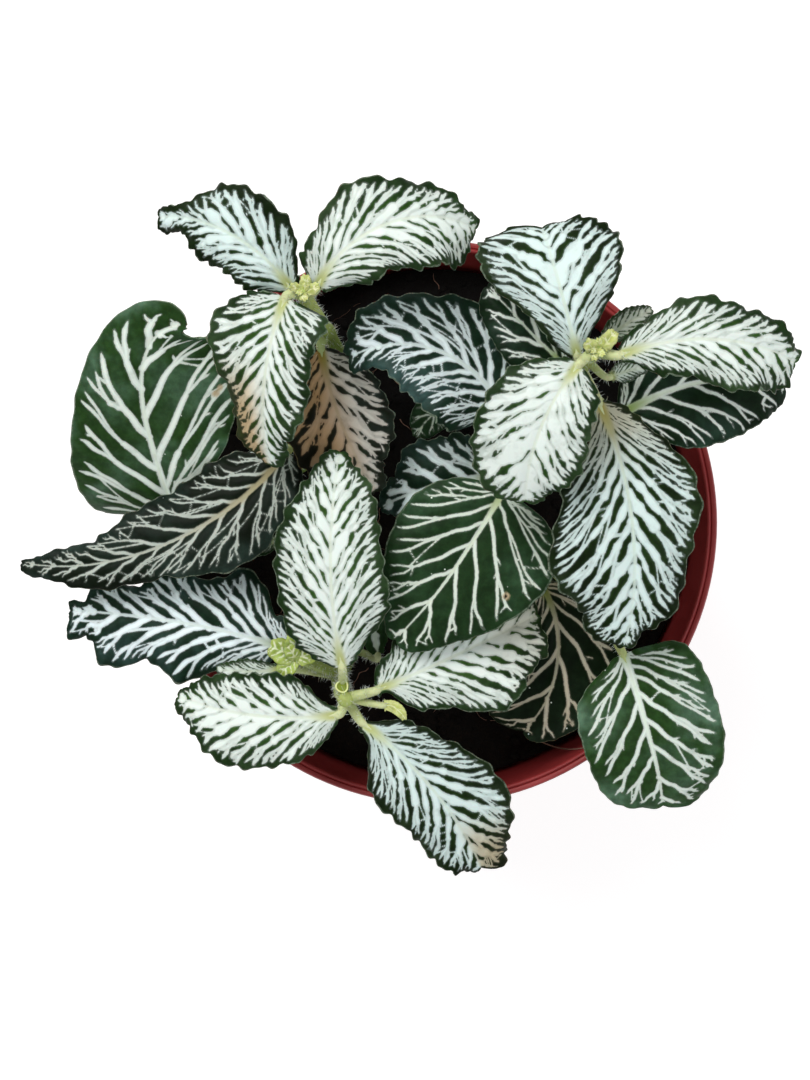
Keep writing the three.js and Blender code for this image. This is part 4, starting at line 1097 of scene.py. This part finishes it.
# A cut stalk: a short tube with a sunken middle
def addStub(bundle, rng):
    start, end = np.array(cutStub["start"]), np.array(cutStub["end"])
    outer, inner, depth, sides = (cutStub[key] for key in ("outer", "inner", "depth", "sides"))
    way = unit(end - start)
    across = unit(np.cross(way, [0.2, 1, 0.1]))
    other = np.cross(way, across)
    angles = evenAngles(sides)
    ring = np.cos(angles)[:, None] * across + np.sin(angles)[:, None] * other
    ring = ring * (1 + 0.06 * np.sin(3 * angles + 1))[:, None]
    long = np.linalg.norm(end - start)
    profile = [  # radius, height, and how much it shows the colours of the cut
        (0.1, 0, 0), (outer, 0.2, 0), (outer, long - 0.2, 0), (outer - 0.08, long, 0.3),
        (inner + 0.1, long - 0.02, 0.6), (inner, long - 0.14, 1), (inner * 0.7, long - depth, 1),
        (0.1, long - 0.7 * depth, 1)]
    points = np.concatenate([start + way * z + ring * r for r, z, cut in profile])
    cuts = np.repeat([cut for r, z, cut in profile], sides)
    bundle.add(points, cappedFaces(len(profile), sides), tall=cutStub["tall"], cut=cuts)
    middle = [start, lerp(start, end, 0.5), lerp(start, end, 0.96)]
    addHairs(bundle, middle, np.full(3, outer), cutStub["hairs"], rng, tall=cutStub["tall"])


stemTints = dict(foot="4d3a26", middle="6a8038", top="a9b768", pale="e2e6bd", blotch="5b5a2e",
                 cutRim="dfe6a0", cutHeart="7f8f2c", hair="e4e9e2")


# Brown at the soil, green higher up, paler along young stalks, with whitish hairs
def makeStemMaterial():
    material, tree, shader = newMaterial("hairyStem", Specular_IOR_Level=0.3, Subsurface_Weight=0.1,
                                         Subsurface_Scale=0.001)
    mottle, height = addGrain(tree, 700.0, 3000.0)[1:]
    tints = {key: tint(code) for key, code in stemTints.items()}
    tall = readField(tree, "tall")
    skin = mix(tree, span(tree, tall, 0.05, 0.45), tints["foot"], tints["middle"])
    skin = mix(tree, span(tree, tall, 0.55, 0.95), skin, tints["top"])
    skin = mix(tree, calc(tree, "MULTIPLY", readField(tree, "pale"), 0.85), skin, tints["pale"])
    skin = mix(tree, span(tree, mottle, 0.45, 0.75, 0.0, 0.35), skin, tints["blotch"])
    cut = readField(tree, "cut")
    skin = mix(tree, span(tree, cut, 0.1, 0.3), skin, tints["cutRim"])
    skin = mix(tree, span(tree, cut, 0.5, 0.9), skin, tints["cutHeart"])
    skin = mix(tree, span(tree, readField(tree, "hair"), 0.1, 0.5), skin, tints["hair"])
    tree.links.new(skin, shader.inputs["Base Color"])
    tree.links.new(span(tree, mottle, 0.2, 0.8, 0.4, 0.6), shader.inputs["Roughness"])
    bump(tree, shader, height, 0.3, 0.0002)
    return material


stemMaterial = makeStemMaterial()


# tall is the share of the stem's height, and pale grows along the stalks of young leaves
def addStalks(bundle, stem, height, rng):
    sides = stemForm["stalkSides"]
    for stalk in stem["stalks"]:
        path, radii = stalkPath(stalk)
        share = (path[:, 2] - stemForm["foot"]) / height
        young = leafTable[stalk["leaf"]]["kind"] in ("young", "lime")
        pale = np.linspace(0.1, 1.0, len(path)) if young else np.linspace(0, 0.35, len(path))
        bundle.add(*tubeMesh(path, radii, sides),
                   tall=ringValues(share, sides), pale=ringValues(pale, sides))
        bare = stemForm["stalkSteps"] + 1  # no hairs on the rib under the blade
        addHairs(bundle, path[:bare], radii[:bare], stemForm["hairs"], rng, tall=0.5)


def addSideShoot(bundle, rng):
    steps, radius = sideShoot["steps"], sideShoot["radius"]
    path = smoothCurve(sideShoot["route"], steps)
    bundle.add(*tubeMesh(path, radius, sideShoot["sides"]), tall=0.75)
    addHairs(bundle, path, np.full(steps, radius), 2 * stemForm["hairs"], rng, tall=0.5)


def buildStem(number, name, stem):
    rng = np.random.default_rng(seeds["stem"] + number)
    bundle = Bundle("tall", "pale", "cut", "hair")
    route = np.array(stem["route"], dtype=float)
    foot = [*route[0, :2], stemForm["foot"]]
    points = smoothCurve([foot, *route], stemForm["steps"])
    leaving = [stalk["start"][2] for stalk in stem["stalks"]]
    swell = np.max([np.exp(-((points[:, 2] - z) / stemForm["swellReach"]) ** 2) for z in leaving], axis=0)
    height = points[:, 2].max() - stemForm["foot"]
    share = (points[:, 2] - stemForm["foot"]) / height
    radii = stem["radius"] * lerp(1.12, 0.82, share) + stemForm["swelling"] * swell
    radii[-3:] *= stemForm["tipShares"]
    sides = stemForm["sides"]
    bundle.add(*tubeMesh(points, radii, sides), tall=ringValues(share, sides))
    addHairs(bundle, points[6:], radii[6:], stemForm["hairs"], rng, tall=0.5)
    addStalks(bundle, stem, height, rng)
    if name == "stem_front":
        addSideShoot(bundle, rng)
        addStub(bundle, rng)
    piece = bundle.build("fine_" + name, stemMaterial, "stem")
    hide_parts(name)


def buildBuds(number, name, stem):
    buds = stem["buds"] + innerBuds.get(name, [])
    if not buds:
        return
    leaflets = Bundle("vein", "along", "across", "ribward", "under", "veil", "scar", "pit")
    for k, bud in enumerate(buds):
        seed = seeds["bud"] + 20 * number + k
        points, faces, fields = bladeMesh(budLeaf(name, **bud), seed, budForm["rows"], budForm["columns"])
        leaflets.add(points, faces, **fields)
    piece = leaflets.build("bud_" + name, leafMaterials[budLooks.get(name, "lime")], "leaf_bud")
    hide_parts(name)


for number, (name, stem) in enumerate(stemTable.items()):
    buildStem(number, name, stem)
    buildBuds(number, name, stem)
print("stems built:", len(stemTable))


# Soil: an uneven crumbly top that sinks a little at the wall, loose crumbs, and fine dry roots

soilForm = dict(top=83.0, bump=1.1, low=3.7, lowRadius=38.8, brim=55.3, sink=1.2, sinkWide=5, field=70,
                lumps=((5.0, 0.55), (2.2, 0.4), (1.1, 0.25), (0.8, 0.16)), rings=100, around=190,
                crumbs=800, crumbSize=(0.35, 1.5), roots=80, rootStep=0.8, rootLong=(4, 15),
                rootWide=(0.07, 0.16))
wallRoot = dict(route=[(21, -46.5, 84.2), (25.3, -48.3, 85.4), (29, -48.7, 89), (32.8, -47.6, 94.9),
                       (35, -47, 95.5)], radius=0.16, steps=24, sides=5)
soilTints = dict(dark="070403", light="17100c", shade="020101", root="8a6a5c")


def soilHeight(x, y):
    slow = np.sin(0.13 * x + 1.7) * np.cos(0.11 * y - 0.6)
    quick = np.sin(0.43 * x - 0.31 * y) * np.cos(0.37 * x + 0.29 * y + 1)
    return soilForm["top"] + soilForm["bump"] * (slow + 0.5 * quick)


# Smooth random hills of about the given size, from -1 to 1
def hills(x, y, size, rng):
    field = soilForm["field"]
    count = int(2 * field / size) + 3
    heights = rng.uniform(-1, 1, (count, count))
    u, v = (x + field) / size, (y + field) / size
    i, j = np.floor(u).astype(int), np.floor(v).astype(int)
    s, t = smoothStep(u - i, 0, 1), smoothStep(v - j, 0, 1)
    near = lerp(heights[i, j], heights[i + 1, j], s)
    far = lerp(heights[i, j + 1], heights[i + 1, j + 1], s)
    return lerp(near, far, t)


# The same seed each time, so every place has one height
def roughSoil(x, y):
    rng = np.random.default_rng(seeds["soilTop"])
    height = soilHeight(x, y)
    for size, part in soilForm["lumps"]:
        height = height + part * hills(x, y, size, rng)
    brim = soilForm["brim"]
    return height - soilForm["sink"] * smoothStep(np.hypot(x, y), brim - soilForm["sinkWide"], brim)


def makeSoilMaterial():
    material, tree, shader = newMaterial("darkPeat", Specular_IOR_Level=0.15)
    place, mottle, height = addGrain(tree, 900.0, 4200.0)
    skin = mix(tree, span(tree, mottle, 0.3, 0.75), tint(soilTints["dark"]), tint(soilTints["light"]))
    back = node(tree, "ShaderNodeSeparateXYZ", {0: place}).outputs["Y"]
    # painted shade: the soil is darker towards the back, under the dense leaves there
    skin = mix(tree, span(tree, back, -0.01, 0.03, 0.0, 0.8), skin, tint(soilTints["shade"]))
    skin = mix(tree, readField(tree, "root"), skin, tint(soilTints["root"]))
    tree.links.new(skin, shader.inputs["Base Color"])
    tree.links.new(span(tree, mottle, 0.2, 0.8, 0.8, 1.0), shader.inputs["Roughness"])
    bump(tree, shader, height, 0.8, 0.0006)
    return material


def addSoilBody(bundle):
    rings, around = soilForm["rings"], soilForm["around"]
    radius = np.linspace(soilForm["brim"] / rings, soilForm["brim"], rings)[:, None]
    angle = evenAngles(around)
    x, y = (radius * np.cos(angle)).ravel(), (radius * np.sin(angle)).ravel()
    points = np.stack([x, y, roughSoil(x, y)], -1)
    low = np.stack([soilForm["lowRadius"] * np.cos(angle), soilForm["lowRadius"] * np.sin(angle),
                    np.full(around, soilForm["low"])], -1)
    middle = [[0, 0, roughSoil(np.zeros(1), np.zeros(1))[0]], [0, 0, soilForm["low"]]]
    faces = [[face[0], *face[:0:-1]] for face in closedFaces(rings + 1, around)]  # turned to face out
    bundle.add(np.vstack([points, low, middle]), faces)


# Crumbs are squashed icosahedra, each corner pushed in or out a little
def addCrumbs(bundle, rng):
    golden = (1 + 5 ** 0.5) / 2
    ball = unit(np.array([
        (-1, golden, 0), (1, golden, 0), (-1, -golden, 0), (1, -golden, 0),
        (0, -1, golden), (0, 1, golden), (0, -1, -golden), (0, 1, -golden),
        (golden, 0, -1), (golden, 0, 1), (-golden, 0, -1), (-golden, 0, 1)]))
    faces = [(0, 11, 5), (0, 5, 1), (0, 1, 7), (0, 7, 10), (0, 10, 11),
             (1, 5, 9), (5, 11, 4), (11, 10, 2), (10, 7, 6), (7, 1, 8),
             (3, 9, 4), (3, 4, 2), (3, 2, 6), (3, 6, 8), (3, 8, 9),
             (4, 9, 5), (2, 4, 11), (6, 2, 10), (8, 6, 7), (9, 8, 1)]
    for _ in range(soilForm["crumbs"]):
        radius = soilForm["brim"] * 0.985 * math.sqrt(rng.uniform())
        angle = rng.uniform(0, 2 * np.pi)
        x, y = radius * math.cos(angle), radius * math.sin(angle)
        size = lerp(*soilForm["crumbSize"], rng.uniform() ** 2.5)
        turned = np.array(Matrix.Rotation(rng.uniform(0, 6.28), 3, Vector(rng.normal(size=3))))
        lump = ball * rng.uniform(0.7, 1.25, (12, 1)) * size * rng.uniform(0.6, 1.3, 3)
        place = [x, y, roughSoil(np.array([x]), np.array([y]))[0] + 0.3 * size]
        bundle.add(lump @ turned.T + place, faces)


# Roots wander over the soil from a random place, and one longer root hangs over the wall
def addRoots(bundle, rng):
    step = soilForm["rootStep"]
    for _ in range(soilForm["roots"]):
        radius = soilForm["brim"] * 0.93 * math.sqrt(rng.uniform())
        angle, heading = rng.uniform(0, 6.28, 2)
        place = np.array([radius * math.cos(angle), radius * math.sin(angle)])
        path = []
        for _ in range(int(rng.uniform(*soilForm["rootLong"]) / step)):
            path.append([*place, roughSoil(place[:1], place[1:])[0] + rng.uniform(0.0, 0.5)])
            heading += rng.normal() * 0.3
            ahead = place + step * np.array([math.cos(heading), math.sin(heading)])
            if np.hypot(*ahead) > soilForm["brim"] - 0.6:
                break
            place = ahead
        if len(path) > 3:
            path = smoothCurve(path, 2 * len(path))
            wide = rng.uniform(*soilForm["rootWide"])
            radii = wide * np.linspace(1, 0.4, len(path))
            bundle.add(*tubeMesh(path, radii, 4), root=rng.uniform(0.25, 0.9))
    path = smoothCurve(wallRoot["route"], wallRoot["steps"])
    bundle.add(*tubeMesh(path, wallRoot["radius"], wallRoot["sides"]), root=1.0)


soilMaterial = makeSoilMaterial()
soilRng = np.random.default_rng(seeds["soilBits"])
soilBundle = Bundle("root")
addSoilBody(soilBundle)
addCrumbs(soilBundle, soilRng)
addRoots(soilBundle, soilRng)
soilPiece = soilBundle.build("fine_soil", soilMaterial, "soil")
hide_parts("soil")
print("soil built")


# Pot: one turned wall with rounded corners, a bead and a groove round its rim, and holes in its floor

potForm = dict(sides=144, cornerSteps=5, drains=6, drainRadius=4.0, drainCircle=26.0, drainSides=24,
               sharpFrom=32)
potTints = dict(dark="8c2a2b", light="973232", dust="b08a80")
potProfile = [  # radius, height and rounding of each corner
    (0, 0, 0), (12, 0, 0.3), (13, 1.4, 0.3), (34, 1.4, 0.3), (35, 0, 0.3), (41.3, 0, 0.6),
    (42.2, 1.2, 0.6), (57.5, 81.9, 0.4), (59.35, 82.6, 0.5), (60.0, 94.2, 0.5), (59.6, 94.85, 0.25),
    (58.85, 94.7, 0.15), (58.68, 94.3, 0.08), (58.5, 94.75, 0.15), (58.15, 95.0, 0.2),
    (57.75, 94.6, 0.3), (56.1, 79, 0.6), (40.5, 3.4, 1.0), (0, 3.2, 0)]


def roundedProfile():
    corners = np.array([corner[:2] for corner in potProfile], dtype=float)
    points = [corners[0]]
    for k in range(1, len(corners) - 1):
        before, here, after = corners[k - 1:k + 2]
        room = 0.45 * min(np.linalg.norm(before - here), np.linalg.norm(after - here))
        cut = min(potProfile[k][2], room)
        a, b = here + unit(before - here) * cut, here + unit(after - here) * cut
        for t in np.linspace(0, 1, potForm["cornerSteps"]):
            points.append((1 - t) ** 2 * a + 2 * t * (1 - t) * here + t * t * b)
    points.append(corners[-1])
    return np.array(points)


def potMesh():
    profile = roundedProfile()
    inner = profile[1:-1]
    sides = potForm["sides"]
    angle = evenAngles(sides)
    rings = [np.stack([r * np.cos(angle), r * np.sin(angle), np.full(sides, z)], -1) for r, z in inner]
    ends = [[0, 0, profile[0][1]], [0, 0, profile[-1][1]]]
    return np.vstack(rings + [ends]), closedFaces(len(inner), sides)


def makePotMaterial():
    material, tree, shader = newMaterial("redPlastic", Specular_IOR_Level=0.4, Subsurface_Weight=0.03,
                                         Subsurface_Scale=0.001)
    place, mottle, height = addGrain(tree, 120.0, 1800.0)
    skin = mix(tree, span(tree, mottle, 0.3, 0.75), tint(potTints["dark"]), tint(potTints["light"]))
    dust = noise(tree, place, 420.0, 5.0, 0.7)
    skin = mix(tree, span(tree, dust, 0.62, 0.82, 0.0, 0.22), skin, tint(potTints["dust"]))
    tree.links.new(skin, shader.inputs["Base Color"])
    tree.links.new(span(tree, mottle, 0.2, 0.8, 0.36, 0.55), shader.inputs["Roughness"])
    bump(tree, shader, height, 0.12, 0.0002)
    return material


# Holes are cut with a boolean modifier, and the result is kept as the piece's plain mesh
def cutHoles(piece):
    cutters = Bundle()
    sides, radius, count = potForm["drainSides"], potForm["drainRadius"], potForm["drains"]
    around = evenAngles(sides)
    for k in range(count):
        angle = 2 * math.pi * k / count
        x, y = potForm["drainCircle"] * math.cos(angle), potForm["drainCircle"] * math.sin(angle)
        ring = np.stack([x + radius * np.cos(around), y + radius * np.sin(around)], -1)
        rings = [np.column_stack([ring, np.full(sides, z)]) for z in (-2.0, 6.0)]
        cutters.add(np.vstack(rings), cappedFaces(2, sides))
    mesh = bpy.data.meshes.new("drainCutters")
    mesh.from_pydata((np.concatenate(cutters.points) * mm).tolist(), [], cutters.faces)
    cutter = newObject("drainCutters", mesh)
    change = piece.modifiers.new("drainHoles", "BOOLEAN")
    change.operation = "DIFFERENCE"
    change.object = cutter
    change.solver = "EXACT"
    bpy.context.view_layer.update()
    ready = piece.evaluated_get(bpy.context.evaluated_depsgraph_get())
    plain = bpy.data.meshes.new_from_object(ready)
    piece.modifiers.clear()
    piece.data = plain
    bpy.data.objects.remove(cutter)


potMaterial = makePotMaterial()
potPiece = newPiece("fine_pot", *potMesh(), potMaterial, "pot_plastic")
cutHoles(potPiece)
potPiece.data.set_sharp_from_angle(angle=degree * potForm["sharpFrom"])
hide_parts("pot")
print("pot built, faces:", len(potPiece.data.polygons))


# Camera straight above, lights, floor and white surroundings

view = dict(place=(-6.4, -3.7, 545.0), lens=70.7, sensor=36.0)
lightAim = (0, 0, 100)
lights = {
    "keyLight": dict(place=(-330, 420, 860), size=520, power=6.0, colour=(1.0, 0.99, 0.97)),
    "fillLight": dict(place=(560, -260, 760), size=600, power=1.8, colour=(0.93, 0.97, 1.0)),
}
backdrop = dict(light=0.44, seen=0.97)  # strength of the white surroundings as light and as seen
paleFloor = dict(reach=20.0, shade=0.5, glow=0.72)  # reach in metres


def placeCamera():
    data = bpy.data.cameras.new("camera")
    data.sensor_fit = "AUTO"
    data.sensor_width = view["sensor"]
    data.lens = view["lens"]
    data.clip_start = 0.01
    camera = newObject("camera", data)
    camera.location = Vector(view["place"]) * mm
    bpy.context.scene.camera = camera


def placeLight(name, place, size, power, colour):
    data = bpy.data.lights.new(name, "AREA")
    data.shape = "DISK"
    data.size = size * mm
    data.energy = power
    data.color = colour
    light = newObject(name, data)
    light.location = Vector(place) * mm
    aim = Vector(lightAim) * mm - light.location
    light.rotation_euler = aim.to_track_quat("-Z", "Y").to_euler()


def placeFloor():
    mesh = bpy.data.meshes.new("floor")
    far = paleFloor["reach"]
    mesh.from_pydata([(-far, -far, 0), (far, -far, 0), (far, far, 0), (-far, far, 0)], [], [[0, 1, 2, 3]])
    floor = newObject("floor", mesh)
    material, _, shader = newMaterial("paleFloor", Roughness=0.9, Specular_IOR_Level=0.0,
                                      Base_Color=[paleFloor["shade"]] * 3 + [1])
    shader.inputs["Emission Color"].default_value = (1, 1, 1, 1)
    shader.inputs["Emission Strength"].default_value = paleFloor["glow"]
    mesh.materials.append(material)


def placeSurroundings():
    world = bpy.data.worlds.new("studio")
    world.use_nodes = True
    tree = world.node_tree
    shader = tree.nodes["Background"]
    shader.inputs["Color"].default_value = (1, 1, 1, 1)
    seen = node(tree, "ShaderNodeLightPath").outputs["Is Camera Ray"]
    more = backdrop["seen"] - backdrop["light"]
    tree.links.new(calc(tree, "MULTIPLY_ADD", seen, more, backdrop["light"]), shader.inputs["Strength"])
    bpy.context.scene.world = world


placeCamera()
for name, light in lights.items():
    placeLight(name, **light)
placeFloor()
placeSurroundings()
bpy.context.scene.view_settings.view_transform = "Standard"
bpy.context.scene.view_settings.look = "None"
print("camera, lights and floor placed")

triangles = {o.name: sum(len(f.vertices) - 2 for f in o.data.polygons) for o in bpy.data.objects
             if o.type == "MESH" and o.name.startswith(("fine_", "bud_"))}
print("triangles in all", sum(triangles.values()), "most in one piece", max(triangles.values()))
